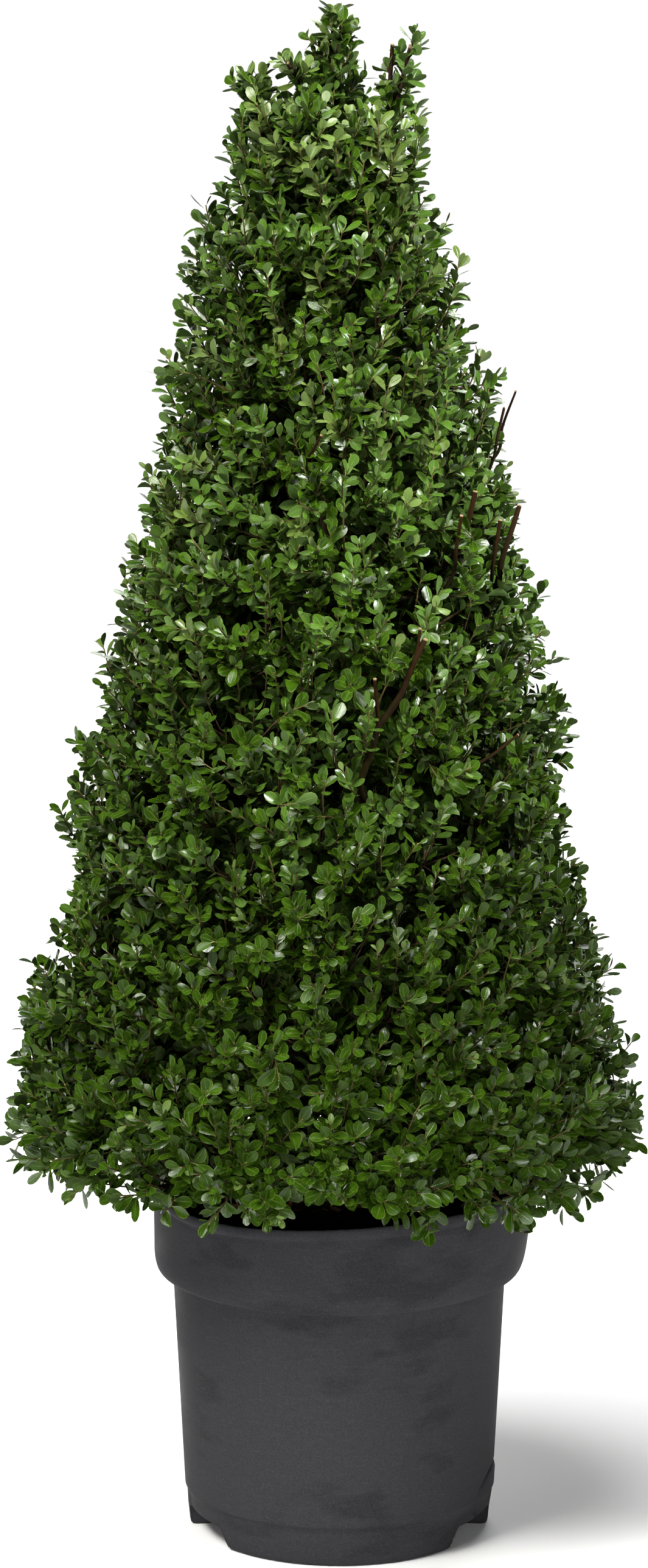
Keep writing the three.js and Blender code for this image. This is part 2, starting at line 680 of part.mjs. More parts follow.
addNode('pot', pot, FINISHES.pot);
addNode('soil', soil, FINISHES.soil);
addNode('trunk', trunk, FINISHES.bark);
sectors.forEach(({ name, tier, startAngle, endAngle, limb: carrier }, i) => {
  const mass = sectorMass(startAngle, endAngle, tier, stemFrom(carrier), limbRoom, SECTOR_SEED + i);
  addNode(`bough_${name}`, carrier.body, FINISHES.bark);
  addNode(`foliage_${name}`, mass, FINISHES.leaves);
});
leaders.forEach(({ name, limb: carrier }, i) => {
  const start = carrier.end.clone().addScaledVector(carrier.along, CLEARANCE);
  const spray = leaderSpray(i, start, carrier.along, limbRoom, SPRAY_SEED + i);
  addNode(name, carrier.body, FINISHES.bark);
  addNode(`spray_${LEADERS[i].name}`, spray, FINISHES.leaves);
});

export default plant;
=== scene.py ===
import math

import bpy
import numpy as np
from bpy.props import FloatProperty, FloatVectorProperty, IntProperty, PointerProperty
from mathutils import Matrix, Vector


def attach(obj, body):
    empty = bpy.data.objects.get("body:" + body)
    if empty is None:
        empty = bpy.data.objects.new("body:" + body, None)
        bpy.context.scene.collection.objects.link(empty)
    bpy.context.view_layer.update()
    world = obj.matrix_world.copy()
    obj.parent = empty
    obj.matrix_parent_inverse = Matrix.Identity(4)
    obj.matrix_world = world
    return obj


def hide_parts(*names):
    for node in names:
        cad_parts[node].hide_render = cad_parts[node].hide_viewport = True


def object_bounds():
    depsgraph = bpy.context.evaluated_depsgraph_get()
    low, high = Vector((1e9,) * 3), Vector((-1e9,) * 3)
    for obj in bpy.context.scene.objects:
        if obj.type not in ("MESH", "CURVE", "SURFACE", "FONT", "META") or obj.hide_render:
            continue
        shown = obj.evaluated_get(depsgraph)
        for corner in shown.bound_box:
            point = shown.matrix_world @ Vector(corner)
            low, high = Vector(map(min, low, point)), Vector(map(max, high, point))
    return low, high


bl_info = {
    "name": "Clipped Cone Shrub",
    "version": (1, 0, 0),
    "blender": (4, 5, 0),
    "location": "View3D > Sidebar > Shrub",
    "description": "Builds a small-leaved evergreen clipped to a cone in a charcoal nursery pot",
    "category": "Add Mesh",
}

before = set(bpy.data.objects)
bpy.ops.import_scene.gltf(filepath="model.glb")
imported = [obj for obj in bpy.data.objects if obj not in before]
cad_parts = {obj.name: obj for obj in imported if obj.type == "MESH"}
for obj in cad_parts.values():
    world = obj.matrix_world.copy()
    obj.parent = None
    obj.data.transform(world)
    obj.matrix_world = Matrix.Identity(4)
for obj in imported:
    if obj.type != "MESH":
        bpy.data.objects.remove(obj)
CAD_LOW, CAD_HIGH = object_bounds()

GOLDEN_ANGLE = math.radians(137.508)
FRONT = math.radians(-90)
WHITE = (1.0, 1.0, 1.0)
# How far a leaf's tip may pass the box of the solids.
OVERHANG = 0.006
# Height over which the root flare dies away.
FLARE_HEIGHT = 0.034
# Boughs end at a share of the radius of the masses' core, less the gap to it. The core lies under the face.
CORE_DEPTH, CORE_SHARE, CORE_GAP = 0.027, 0.84, 0.0153
# Sideways place of the axis at a bough's first bend, and radius at its end.
BEND_AXIS, BOUGH_TIP = -0.005, 0.0034
# Height where the first leader leaves the trunk, step to the next, and radius and height of its bends.
LEADER_FOOT, LEADER_STEP, LEADER_CLIMB = 0.735, 0.034, ((0.023, 0.958), (0.028, 0.995))
# Radius of leaders and of their forks at foot and tip.
LEADER_RADII, FORK_RADII = (0.0038, 0.0015), (0.0019, 0.0013)
# Points along a limb of each kind, and sides and points of branches and twigs.
TRUNK_POINTS, BOUGH_POINTS, LEADER_POINTS, FORK_POINTS, CUT_STEM_POINTS = 120, 48, 60, 30, 110
BRANCH_POINTS, BRANCH_SIDES, TWIG_SIDES = 10, 6, 3
TWIG_STEPS = np.array([0, 0.30, 0.56, 0.78, 0.965, 1.0])
POT_COLUMNS, COMPOST_COLUMNS, COMPOST_RINGS, CHIPS = 480, 120, 30, 420
# Shade of a shoot from which its leaves are behind the face or far inside, and shade of the inner shoots.
BEHIND_FACE, FAR_INSIDE, INNER_SHADE = 0.3, 1.5, 2.0
# Rows of a blade at the face, behind it and far inside: place along the edge and the middle, half width.
BLADE_ROWS = (
    ((0.14, 0.37, 0.61, 0.82, 0.955), (0.14, 0.37, 0.62, 0.84, 1.0), (0.08, 0.35, 0.50, 0.45, 0.23)),
    ((0.36, 0.72, 0.94), (0.36, 0.72, 1.0), (0.34, 0.50, 0.22)),
    ((0.45, 0.90), (0.45, 1.0), (0.46, 0.30)),
)
# Kinds of leaves: tone and lighter tone in the settings, range of the draw, gloss.
LEAF_KINDS = (
    # The inner kind is painted shade: a near-black tone with little gloss for the leaves far inside.
    ("inner", "deep", -1.0, 0.00, 0.10),
    ("deep", "deep_blush", 0.00, 0.46, 0.21),
    ("mid", "mid_blush", 0.46, 0.82, 0.26),
    ("olive", "olive_blush", 0.82, 0.93, 0.26),
    ("young", "young_blush", 0.93, 1.00, 0.26),
)
# Most leaves in one piece.
MOST_LEAVES = 11000
LOWER_SIDES = ("front", "right", "back_right", "back_left", "left")
UPPER_SIDES = ("front", "back_right", "back_left")
# Tiers of boughs: sides, height where the first leaves the trunk, height of the ends, thickness.
TIERS = {
    "lower": (LOWER_SIDES, 0.288, 0.440, 1.0),
    "upper": (UPPER_SIDES, 0.590, 0.775, 0.79),
}
# Leaders: where each comes out of the cone, and its tip.
LEADERS = {
    "left": ((-0.050, -0.008, 1.018), (-0.070, -0.010, 1.082)),
    "front": ((-0.026, -0.038, 1.016), (-0.022, -0.048, 1.066)),
    "middle": ((-0.006, 0.003, 1.016), (-0.004, 0.002, 1.125)),
    "right": ((0.028, -0.006, 1.018), (0.057, -0.004, 1.112)),
    "back": ((-0.004, 0.038, 1.016), (-0.008, 0.052, 1.076)),
}
# Forks of the leaders: the leader, height where the fork leaves it, its tip.
LEADER_FORKS = {
    "leader_fork_left": ("leader_middle", 1.036, (-0.037, -0.018, 1.078)),
    "leader_fork_right": ("leader_right", 1.030, (0.037, -0.008, 1.090)),
}
# Side shoots: how many, reach at the lowest and at the highest, lowest height, bare length at the tip.
LEADER_SHOOTS = {
    "leader_left": (34, 0.036, 0.016, 0.990, 0.003),
    "leader_front": (30, 0.036, 0.020, 0.990, 0.003),
    "leader_middle": (46, 0.040, 0.018, 0.990, 0.003),
    "leader_right": (16, 0.022, 0.012, 0.990, 0.003),
    "leader_back": (34, 0.042, 0.018, 0.990, 0.003),
    "leader_fork_left": (8, 0.014, 0.010, 1.048, 0.003),
    "leader_fork_right": (4, 0.010, 0.008, 1.040, 0.022),
}
# Cut stems: radius at foot and tip, then points as degrees from the front, height, depth behind the face.
FORK = ((8.0, 0.594, 0.024), (11.2, 0.619, 0.013), (13.0, 0.634, 0.010))
FORK_RIGHT = (*FORK, (16.3, 0.645, 0.008), (19.4, 0.656, 0.006))
CUT_STEMS = (
    (0.0026, 0.0017, (*FORK_RIGHT, (22.8, 0.673, 0.004), (27.6, 0.691, 0.001))),
    (0.0018, 0.0012, (*FORK, (12.9, 0.648, 0.008), (12.7, 0.660, 0.005), (12.6, 0.667, 0.003))),
    (0.0014, 0.0009, (*FORK_RIGHT, (23.3, 0.676, 0.005), (25.1, 0.687, 0.003), (26.2, 0.699, 0.001))),
    (0.0017, 0.0015, ((44.2, 0.753, 0.030), (47.2, 0.764, 0.014), (53.5, 0.785, 0.001))),
    (0.0016, 0.0013, ((38.7, 0.731, 0.026), (41.4, 0.749, 0.013), (45.3, 0.771, 0.002))),
    (0.0015, 0.0013, ((53.5, 0.720, 0.030), (55.9, 0.733, 0.012), (62.3, 0.762, 0.001))),
    (0.0025, 0.0016, ((55.8, 0.717, 0.026), (60.4, 0.733, 0.009), (66.8, 0.748, 0.004), (77.5, 0.765, 0.0))),
    (0.0012, 0.0008, ((74.7, 0.805, 0.024), (90.0, 0.816, 0.002), (91.0, 0.842, -0.009))),
    (0.0012, 0.0009, ((69.6, 0.803, 0.020), (74.8, 0.813, 0.008), (90.0, 0.830, -0.001))),
    (0.0012, 0.0009, ((36.6, 0.598, 0.014), (44.5, 0.607, 0.005), (53.3, 0.615, 0.0))),
    (0.0011, 0.0008, ((-6.4, 0.813, 0.014), (-3.8, 0.823, 0.005), (-1.4, 0.832, 0.0))),
)
# Swellings and hollows of the cone: degrees from its right, height, half height, half width, depth.
DENTS = (
    (0, 0.515, 0.045, 42, -0.021),
    (0, 0.590, 0.026, 42, 0.002),
    (0, 0.430, 0.020, 35, -0.008),
    (0, 0.765, 0.030, 40, 0.008),
    (0, 0.862, 0.042, 45, 0.015),
    (0, 0.675, 0.040, 40, 0.004),
    (0, 1.000, 0.030, 70, -0.008),
    (0, 0.958, 0.020, 45, 0.012),
    (180, 0.935, 0.050, 45, 0.016),
    (180, 1.000, 0.026, 70, -0.011),
    (180, 0.785, 0.022, 40, 0.011),
    (180, 0.700, 0.030, 40, -0.008),
    (180, 0.620, 0.022, 40, -0.008),
    (180, 0.470, 0.032, 40, -0.010),
    (180, 0.345, 0.022, 40, 0.003),
    (180, 0.292, 0.020, 40, 0.007),
)
# Rise of the skirt's edge: degrees from the front, half width in degrees, height.
SKIRT_BELLS = ((-90, 60, 0.008), (3, 8, 0.028), (20, 9, -0.003), (180, 60, -0.018), (56, 11, -0.028))
# Depth of the outer, middle and inner shoots behind the clipped face.
FACE_LAYERS = ((0.003, 0.015), (0.015, 0.034), (0.034, 0.056))
# Shares of those shoots: in the outer layer, in the outer two, proud of the face, astray, with few leaves.
OUTER_SHARE, OUTER_TWO, PROUD_SHARE, STRAY_SHARE, STUB_SHARE = 0.64, 0.86, 0.10, 0.16, 0.06
# Compost: height, wavelength and seed of its fields. Bark chips: ranges of half length, width, thickness.
COMPOST_GRAINS = ((0.0022, 0.030, 71), (0.0016, 0.009, 72), (0.0008, 0.004, 73))
CHIP_SIZES = ((0.003, 0.009), (0.002, 0.005), (0.0006, 0.0018))
# Lights: kind, place, target, size, power, tint, spread. The size of a sun is its angle.
LIGHTS = {
    "overhead_light": ("SUN", (-0.5, -0.5, 2.0), (0.0, 0.0, 0.0), 0.7, 3.7, WHITE, None),
    "key_light": ("AREA", (-1.4, -1.3, 2.75), (-0.05, 0.0, 0.90), 1.1, 9.2, (1.0, 0.98, 0.93), 0.7),
    "back_light": ("AREA", (0.5, 2.2, 2.2), (0.0, 0.0, 0.7), 1.4, 46, WHITE, math.pi),
    "fill_light": ("AREA", (1.5, -0.8, 2.1), (0.05, 0.0, 0.95), 0.8, 6.0, WHITE, 0.4),
    "pot_light": ("AREA", (0.0, -2.6, 0.45), (0.0, 0.0, 0.15), 0.4, 0.34, WHITE, 0.15),
}
FLOOR_REACH, STUDIO_LIGHT = 80, 0.03
BOUGH_NODES = [f"bough_{tier}_{side}" for tier, row in TIERS.items() for side in row[0]]
LEADER_NODES = [f"leader_{side}" for side in LEADERS]
FOLIAGE_NODES = [f"foliage_{tier}_{side}" for tier, row in TIERS.items() for side in row[0]]
FOLIAGE_NODES += [f"spray_{side}" for side in LEADERS]


def length(description, default):
    """A length in metres that the user may change."""
    return FloatProperty(description=description, default=default, unit="LENGTH", precision=4)


def number(description, default):
    """A whole number that the user may change."""
    return IntProperty(description=description, default=default)


def colour(description, default):
    """A linear colour that the user may change."""
    return FloatVectorProperty(
        description=description, default=default, size=3, min=0, max=1, subtype="COLOR"
    )


class ShrubPotSettings(bpy.types.PropertyGroup):
    """Sizes and colours of the nursery pot and the compost in it."""

    height: length("Height of the lip over the floor", 0.2644)
    rim_radius: length("Outer radius at the lip", 0.140)
    collar_foot: length("Height of the collar's lower edge", 0.1974)
    collar_foot_radius: length("Outer radius of the collar's lower edge", 0.1336)
    body_top_radius: length("Radius of the wall under the collar", 0.1215)
    body_foot_radius: length("Radius of the wall above the foot band", 0.1125)
    foot_radius: length("Radius of the foot on the floor", 0.1065)
    foot_band: length("Height of the band round the foot", 0.031)
    wall: length("Thickness of the plastic", 0.002)
    rim_shift: length("How far the lip leans to the right", 0.0045)
    rim_rise: length("How much higher the lip is on the right", 0.0022)
    channel_height: length("Height of the arched channels under the foot", 0.016)
    compost_level: length("Height of the compost in the pot", 0.248)
    plastic: colour("Matt charcoal plastic", (0.0275, 0.0275, 0.0299))
    plastic_dark: colour("Damp and rubbed patches", (0.0200, 0.0200, 0.0217))
    plastic_scuff: colour("Fine scratches and dust", (0.080, 0.080, 0.084))
    compost: colour("Dark moist compost", (0.016, 0.011, 0.008))
    chip: colour("Bark pieces in the compost", (0.085, 0.045, 0.022))


class ShrubCrownSettings(bpy.types.PropertyGroup):
    """Outline of the clipped crown and how many shoots fill it."""

    axis_x: length("Sideways place of the crown's axis", -0.010)
    radius: length("Radius at the widest height", 0.227)
    widest: length("Height where the crown is widest", 0.330)
    top: length("Height where the clipped cone ends", 1.000)
    top_radius: length("Radius at the top of the cone", 0.075)
    skirt: length("Height of the lowest shoots", 0.284)
    hem: length("Height under which no leaf hangs", 0.273)
    lumps: length("How far the clipped face swells and sinks", 0.0045)
    shoots: number("Leafy shoots over the cone", 3150)
    shade_shoots: number("Old shoots far inside", 1200)
    top_shoots: number("Shoots over the open top", 110)
    branches: number("Branches that carry the shoots", 230)
    seed: number("Start of the random numbers", 11)


class ShrubLeafSettings(bpy.types.PropertyGroup):
    """Size of a leaf and the tones dealt out by spray."""

    length: length("Length of a full leaf with its stalk", 0.0132)
    width: length("Width of a full leaf", 0.0069)
    per_shoot: number("Leaves on a full shoot", 14)
    spacing: length("Distance between leaves along a shoot", 0.0030)
    # Painted shade: a near-black tone that makes the leaves far inside read as shade.
    inner: colour("Old leaves far inside", (0.0052, 0.0158, 0.0010))
    deep: colour("Old dark leaves", (0.0150, 0.040, 0.0012))
    deep_blush: colour("Lighter parts of the old leaves", (0.029, 0.068, 0.0026))
    mid: colour("Leaves of this year", (0.036, 0.086, 0.0050))
    mid_blush: colour("Lighter parts of this year's leaves", (0.052, 0.102, 0.018))
    olive: colour("Leaves in a brownish green", (0.056, 0.095, 0.0105))
    olive_blush: colour("Lighter parts of the olive leaves", (0.074, 0.110, 0.028))
    young: colour("Fresh leaves at the tips", (0.075, 0.124, 0.023))
    young_blush: colour("Lighter parts of the fresh leaves", (0.102, 0.152, 0.042))
    # This colour also paints the pale rim of each leaf, a painted highlight along its edge.
    rib: colour("Midrib, stalk and rim of a leaf", (0.210, 0.260, 0.060))


class ShrubWoodSettings(bpy.types.PropertyGroup):
    """Thickness of trunk, boughs and twigs, and the colours of their bark."""

    trunk_radius: length("Radius above the root flare", 0.0125)
    trunk_tip: length("Radius at the upper end", 0.0042)
    trunk_top: length("Height of the upper end", 0.905)
    flare: length("Extra radius at the compost", 0.009)
    bough_radius: length("Radius of a lower bough at the trunk", 0.007)
    branch_radius: length("Radius of a branch at its bough", 0.0026)
    twig_radius: length("Radius of a twig at its branch", 0.0008)
    bark: colour("Grey-brown bark of trunk and boughs", (0.085, 0.060, 0.042))
    bark_dark: colour("Furrows of the bark", (0.024, 0.016, 0.012))
    twig: colour("Brown bark of the twigs", (0.075, 0.047, 0.027))
    twig_green: colour("Soft ends of the twigs", (0.125, 0.100, 0.036))
    stem: colour("Reddish ends of the cut stems", (0.0175, 0.0072, 0.0024))
    old_stem: colour("Dark bark of the thick cut stems", (0.0110, 0.0080, 0.0019))
    cut: colour("Fresh cut ends", (0.240, 0.160, 0.085))


class ShrubStageSettings(bpy.types.PropertyGroup):
    """Floor, light and camera."""

    camera_x: length("Sideways place of the camera", -0.011)
    camera_y: length("Place of the camera in front", -5.0)
    camera_z: length("Height of the camera", 1.730)
    camera_pitch: FloatProperty(description="How far the camera looks down", default=0.23068, subtype="ANGLE")
    lens: FloatProperty(description="Focal length in millimetres", default=164.11, unit="CAMERA")
    floor: colour("Pale studio floor", (0.90, 0.90, 0.90))
    floor_shade: colour("Faint variation of the floor", (0.897, 0.897, 0.897))
    sky: colour("Light from the white studio walls", (1.0, 1.0, 1.0))


def unit(vectors):
    """Each vector divided by its own length."""
    return vectors / np.maximum(np.linalg.norm(vectors, axis=-1, keepdims=True), 1e-12)


def square_to(vectors, directions):
    """Each vector less its share along a unit direction."""
    return vectors - (vectors * directions).sum(-1, keepdims=True) * directions


def mix(a, b, share):
    """a at share 0, b at share 1, in proportion between."""
    return a + (b - a) * share


def ease(low, high, value):
    """0 below low, 1 above high, and 3t^2 - 2t^3 between."""
    t = np.clip((value - low) / (high - low), 0, 1)
    return t * t * (3 - 2 * t)


def bell(value, wide):
    """A bell curve: 1 where the value is 0, and e^-(value / wide)^2 away from it."""
    return np.exp(-((value / wide) ** 2))


def ripple(points, wavelength, seed):
    """A smooth random field: nine sine waves in random directions, added and scaled to about -1 to 1."""
    rng = np.random.default_rng(seed)
    waves = unit(rng.normal(size=(9, 3))) * rng.uniform(0.7, 1.5, (9, 1)) * math.tau / wavelength
    return np.sin(points @ waves.T + rng.uniform(0, math.tau, 9)).sum(-1) / 3


def polar(radius, angle, height, axis_x):
    """Points at a radius and angle round an upright axis at axis_x."""
    radius, angle, height = np.broadcast_arrays(radius, angle, height)
    return np.stack([axis_x + radius * np.cos(angle), radius * np.sin(angle), height], -1)


def degrees_from(angle, degrees):
    """How far angles are turned from a place given in degrees: -180 to 180 degrees."""
    return np.degrees((angle - math.radians(degrees) + math.pi) % math.tau - math.pi)


def curve_through(points, count):
    """A smooth curve: between each two points a cubic, whose slopes follow the neighbouring points over
    knots spaced by the root of the distance."""
    points = np.asarray(points, float)
    knots = np.concatenate([[0], np.cumsum(np.linalg.norm(np.diff(points, axis=0), axis=1) ** 0.5)])
    slopes = np.gradient(points, knots, axis=0)
    at = np.linspace(0, knots[-1], count)
    i = np.clip(np.searchsorted(knots, at, side="right") - 1, 0, len(points) - 2)
    step = (knots[i + 1] - knots[i])[:, None]
    t = (at - knots[i])[:, None] / step
    start = (1 + 2 * t) * (1 - t) ** 2 * points[i] + t * (1 - t) ** 2 * step * slopes[i]
    end = t * t * (3 - 2 * t) * points[i + 1] + t * t * (t - 1) * step * slopes[i + 1]
    return start + end


def bezier(p0, p1, p2, p3, t):
    """Cubic Bezier points and directions of many shoots at the shares t."""
    p0, p1, p2, p3 = (p[:, None, :] for p in (p0, p1, p2, p3))
    t = t[..., None]
    s = 1 - t
    points = s**3 * p0 + 3 * s * s * t * p1 + 3 * s * t * t * p2 + t**3 * p3
    slopes = s * s * (p1 - p0) + 2 * s * t * (p2 - p1) + t * t * (p3 - p2)
    return points, unit(slopes)


def side_frames(directions):
    """Two unit vectors square to each direction: the first is the upright, or y where the direction is
    itself upright, less its share along the direction; the second is their cross product."""
    steep = np.abs(directions[..., 2:]) > 0.92
    reference = np.where(steep, np.array([0.0, 1.0, 0.0]), np.array([0.0, 0.0, 1.0]))
    first = unit(square_to(reference, directions))
    return first, np.cross(directions, first)


def tapered(path, foot, tip):
    """A path with a radius at each point that runs evenly from foot to tip."""
    return path, mix(foot, tip, np.linspace(0, 1, len(path)))


def closed_rings(rings, sides):
    """Faces over rings of points: quads from each ring to the next, and triangles from the first and the last
    ring to a middle point each. The two middle points are numbered after the rings."""
    start = np.arange(rings - 1)[:, None] * sides
    here, beside = np.arange(sides), (np.arange(sides) + 1) % sides
    quads = np.stack([start + here, start + beside, start + beside + sides, start + here + sides], -1)
    last, middle = (rings - 1) * sides, np.full(sides, rings * sides)
    foot = np.stack([middle, beside, here], -1)
    head = np.stack([middle + 1, last + here, last + beside], -1)
    return quads.reshape(-1, 4), np.concatenate([foot, head])


def tubes(paths, radii, sides, along):
    """Round stems: a circle of the radius at each point, square to the path, joined to the next circle and
    closed by a cap at each end. Paths are stems by points by 3, radii stems by points or by sides as well."""
    stems, points = paths.shape[:2]
    directions = unit(np.gradient(paths, axis=1))
    chord = unit(paths[:, -1] - paths[:, 0])[:, None, :]
    first, _ = side_frames(np.broadcast_to(chord, directions.shape))
    first = unit(square_to(first, directions))
    second = np.cross(directions, first)
    turn = np.arange(sides) * math.tau / sides
    spokes = first[:, :, None, :] * np.cos(turn)[:, None] + second[:, :, None, :] * np.sin(turn)[:, None]
    radii = radii[..., None] if radii.ndim == 2 else radii
    rings = paths[:, :, None, :] + radii[..., None] * spokes
    vertices = np.concatenate([rings.reshape(stems, -1, 3), paths[:, :1], paths[:, -1:]], 1)
    block = points * sides + 2
    offsets = (np.arange(stems) * block)[:, None, None]
    faces = [(part + offsets).reshape(-1, part.shape[1]) for part in closed_rings(points, sides)]
    along = np.broadcast_to(along, (stems, points))
    across = np.append(np.tile(np.arange(sides) / sides, points), [0.5, 0.5])
    up = np.concatenate([np.repeat(along, sides, 1), along[:, :1], along[:, -1:]], 1)
    uv = np.stack([np.broadcast_to(across, (stems, block)), up], -1)
    return vertices.reshape(-1, 3), faces, uv.reshape(-1, 2)


def join(parts):
    """Several meshes as one: vertices in a row, face numbers moved on by the vertices before them."""
    vertices, uv = np.concatenate([p[0] for p in parts]), np.concatenate([p[2] for p in parts])
    starts = np.concatenate([[0], np.cumsum([len(p[0]) for p in parts])])
    faces = [f + start for p, start in zip(parts, starts) for f in p[1]]
    return vertices, faces, uv


def add_piece(name, shape, material, stands_for):
    """Puts the arrays of a shape into a smooth mesh object at the origin, which rides on the root body."""
    vertices, faces, uv = shape
    corners = np.concatenate([f.ravel() for f in faces]).astype(np.int32)
    sizes = np.concatenate([np.full(len(f), f.shape[1]) for f in faces])
    mesh = bpy.data.meshes.new(name)
    mesh.vertices.add(len(vertices))
    mesh.vertices.foreach_set("co", vertices.astype(np.float32).ravel())
    mesh.loops.add(len(corners))
    mesh.loops.foreach_set("vertex_index", corners)
    mesh.polygons.add(len(sizes))
    mesh.polygons.foreach_set("loop_start", np.concatenate([[0], np.cumsum(sizes)[:-1]]).astype(np.int32))
    layer = mesh.uv_layers.new(name="UVMap")
    layer.data.foreach_set("uv", uv[corners].astype(np.float32).ravel())
    mesh.update(calc_edges=True)
    mesh.shade_smooth()
    mesh.materials.append(material)
    piece = bpy.data.objects.new(name, mesh)
    bpy.context.scene.collection.objects.link(piece)
    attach(piece, "root")
    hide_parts(*stands_for)


def add_node(tree, kind, settings=None, **inputs):
    """A shader node with its settings made and its inputs set or joined to other sockets."""
    node = tree.nodes.new(kind)
    for key, value in (settings or {}).items():
        setattr(node, key, value)
    for key, value in inputs.items():
        socket = node.inputs[int(key[1:]) if key[0] == "i" and key[1:].isdigit() else key.replace("_", " ")]
        if isinstance(value, bpy.types.NodeSocket):
            tree.links.new(value, socket)
        else:
            socket.default_value = value
    return node


def math_node(tree, operation, *values):
    """One step of arithmetic between sockets or numbers."""
    inputs = {f"i{number}": value for number, value in enumerate(values)}
    return add_node(tree, "ShaderNodeMath", {"operation": operation}, **inputs).outputs[0]


def times(tree, a, b):
    """The product of two sockets or numbers."""
    return math_node(tree, "MULTIPLY", a, b)


def mix_colour(tree, share, a, b):
    """Colour a at share 0 and colour b at share 1."""
    return add_node(tree, "ShaderNodeMix", {"data_type": "RGBA"}, i0=share, i6=a, i7=b).outputs[2]


def remap(tree, value, low, high, to_low=0.0, to_high=1.0):
    """value from low to high drawn evenly onto to_low to to_high, and held at the ends."""
    return add_node(tree, "ShaderNodeMapRange", i0=value, i1=low, i2=high, i3=to_low, i4=to_high).outputs[0]


def noise(tree, place, scale, detail):
    """Noise from 0 to 1 at a scale in cycles a metre."""
    return add_node(tree, "ShaderNodeTexNoise", Vector=place, Scale=scale, Detail=detail).outputs["Fac"]


def node_group(name, fill, colours, values):
    """The shader node group of that name, made on its first use: fill leads the colour and value inputs to
    the colour, roughness and height of a surface."""
    if name in bpy.data.node_groups:
        return bpy.data.node_groups[name]
    tree = bpy.data.node_groups.new(name, "ShaderNodeTree")
    sockets = [(key, "INPUT", "NodeSocketColor") for key in colours]
    sockets += [(key, "INPUT", "NodeSocketFloat") for key in values]
    sockets += [("Color", "OUTPUT", "NodeSocketColor")]
    sockets += [(key, "OUTPUT", "NodeSocketFloat") for key in ("Roughness", "Height")]
    for key, way, kind in sockets:
        tree.interface.new_socket(name=key, in_out=way, socket_type=kind)
    given, out = tree.nodes.new("NodeGroupInput").outputs, tree.nodes.new("NodeGroupOutput").inputs
    for key, value in zip(("Color", "Roughness", "Height"), fill(tree, given)):
        tree.links.new(value, out[key])
    return tree


def surface_material(name, group, fill, colours, values, strength, relief, shine):
    """A material whose colour, roughness and relief come from a node group. Given back with its tree, its
    shader and the group's outputs, for what one material adds."""
    material = bpy.data.materials.new(name)
    material.use_nodes = True
    tree = material.node_tree
    shader = tree.nodes["Principled BSDF"]
    settings = {"node_tree": node_group(group, fill, colours, values)}
    inputs = {key: (*tone, 1) for key, tone in colours.items()} | values
    surface = add_node(tree, "ShaderNodeGroup", settings, **inputs).outputs
    bump = add_node(tree, "ShaderNodeBump", Strength=strength, Distance=relief, Height=surface["Height"])
    tree.links.new(surface["Color"], shader.inputs["Base Color"])
    tree.links.new(surface["Roughness"], shader.inputs["Roughness"])
    tree.links.new(bump.outputs[0], shader.inputs["Normal"])
    shader.inputs["Specular IOR Level"].default_value = shine
    return material, tree, shader, surface


def leaf_blade(tree, given):
    """Colour, gloss and relief of a leaf over its UV map: u runs across the blade and v from stalk to tip.
    A thin rib on the middle line and the stalk are paler, a pale rim along the edge is a painted highlight,
    and slow noise blends the two tones."""
    place = tree.nodes.new("ShaderNodeTexCoord").outputs
    uv = add_node(tree, "ShaderNodeSeparateXYZ", Vector=place["UV"]).outputs
    across = math_node(tree, "ABSOLUTE", math_node(tree, "SUBTRACT", uv[0], 0.5))
    rib = times(tree, remap(tree, across, 0.02, 0.06, 1, 0), remap(tree, uv[1], 0.5, 1, 1, 0.2))
    # Painted highlight: a pale rim along the blade's edge, where light catches it.
    rim = remap(tree, across, 0.445, 0.49, 0, 0.5)
    stalk = remap(tree, uv[1], 0.06, 0.17, 1, 0)
    pale = math_node(tree, "MAXIMUM", times(tree, rib, 0.26), rim)
    pale = math_node(tree, "MAXIMUM", pale, times(tree, stalk, 0.8))
    blotch = remap(tree, noise(tree, place["Object"], 90, 2), 0.35, 0.65)
    tone = mix_colour(tree, blotch, given["Tone"], given["Blush"])
    fine = noise(tree, place["Object"], 900, 2)
    height = math_node(tree, "SUBTRACT", fine, times(tree, rib, 1.5))
    return mix_colour(tree, pale, tone, given["Rib"]), remap(tree, fine, 0.3, 0.7, 0.18, 0.30), height


def leaf_material(name, tone, blush, rib, shine):
    """Glossy upper face and a paler, matt underside of a leaf."""
    colours = {"Tone": tone, "Blush": blush, "Rib": rib}
    material, tree, shader, blade = surface_material(
        name, "Leaf blade", leaf_blade, colours, {}, 0.25, 0.0004, shine
    )
    under = tree.nodes.new("ShaderNodeNewGeometry").outputs["Backfacing"]
    pale = mix_colour(tree, 0.18, blade["Color"], (0.14, 0.20, 0.07, 1))
    tree.links.new(mix_colour(tree, under, blade["Color"], pale), shader.inputs["Base Color"])
    gloss = add_node(tree, "ShaderNodeMix", i0=under, i2=blade["Roughness"], i3=0.6).outputs[0]
    tree.links.new(gloss, shader.inputs["Roughness"])
    return material


def bark_grain(tree, given):
    """Bark and bark chips: noise drawn out along the height, with finer noise added, blends a dark furrow
    colour into the bark colour; the same values give roughness and relief."""
    place = tree.nodes.new("ShaderNodeTexCoord").outputs["Object"]
    stretched = add_node(tree, "ShaderNodeMapping", Vector=place, Scale=(1, 1, 0.35)).outputs[0]
    coarse = noise(tree, stretched, given["Scale"], 5)
    fine = noise(tree, place, times(tree, given["Scale"], 4), 3)
    both = math_node(tree, "ADD", times(tree, coarse, 0.7), times(tree, fine, 0.3))
    tone = mix_colour(tree, remap(tree, both, 0.36, 0.62), given["Furrow"], given["Bark"])
    return tone, remap(tree, fine, 0.3, 0.7, 0.62, 0.9), both


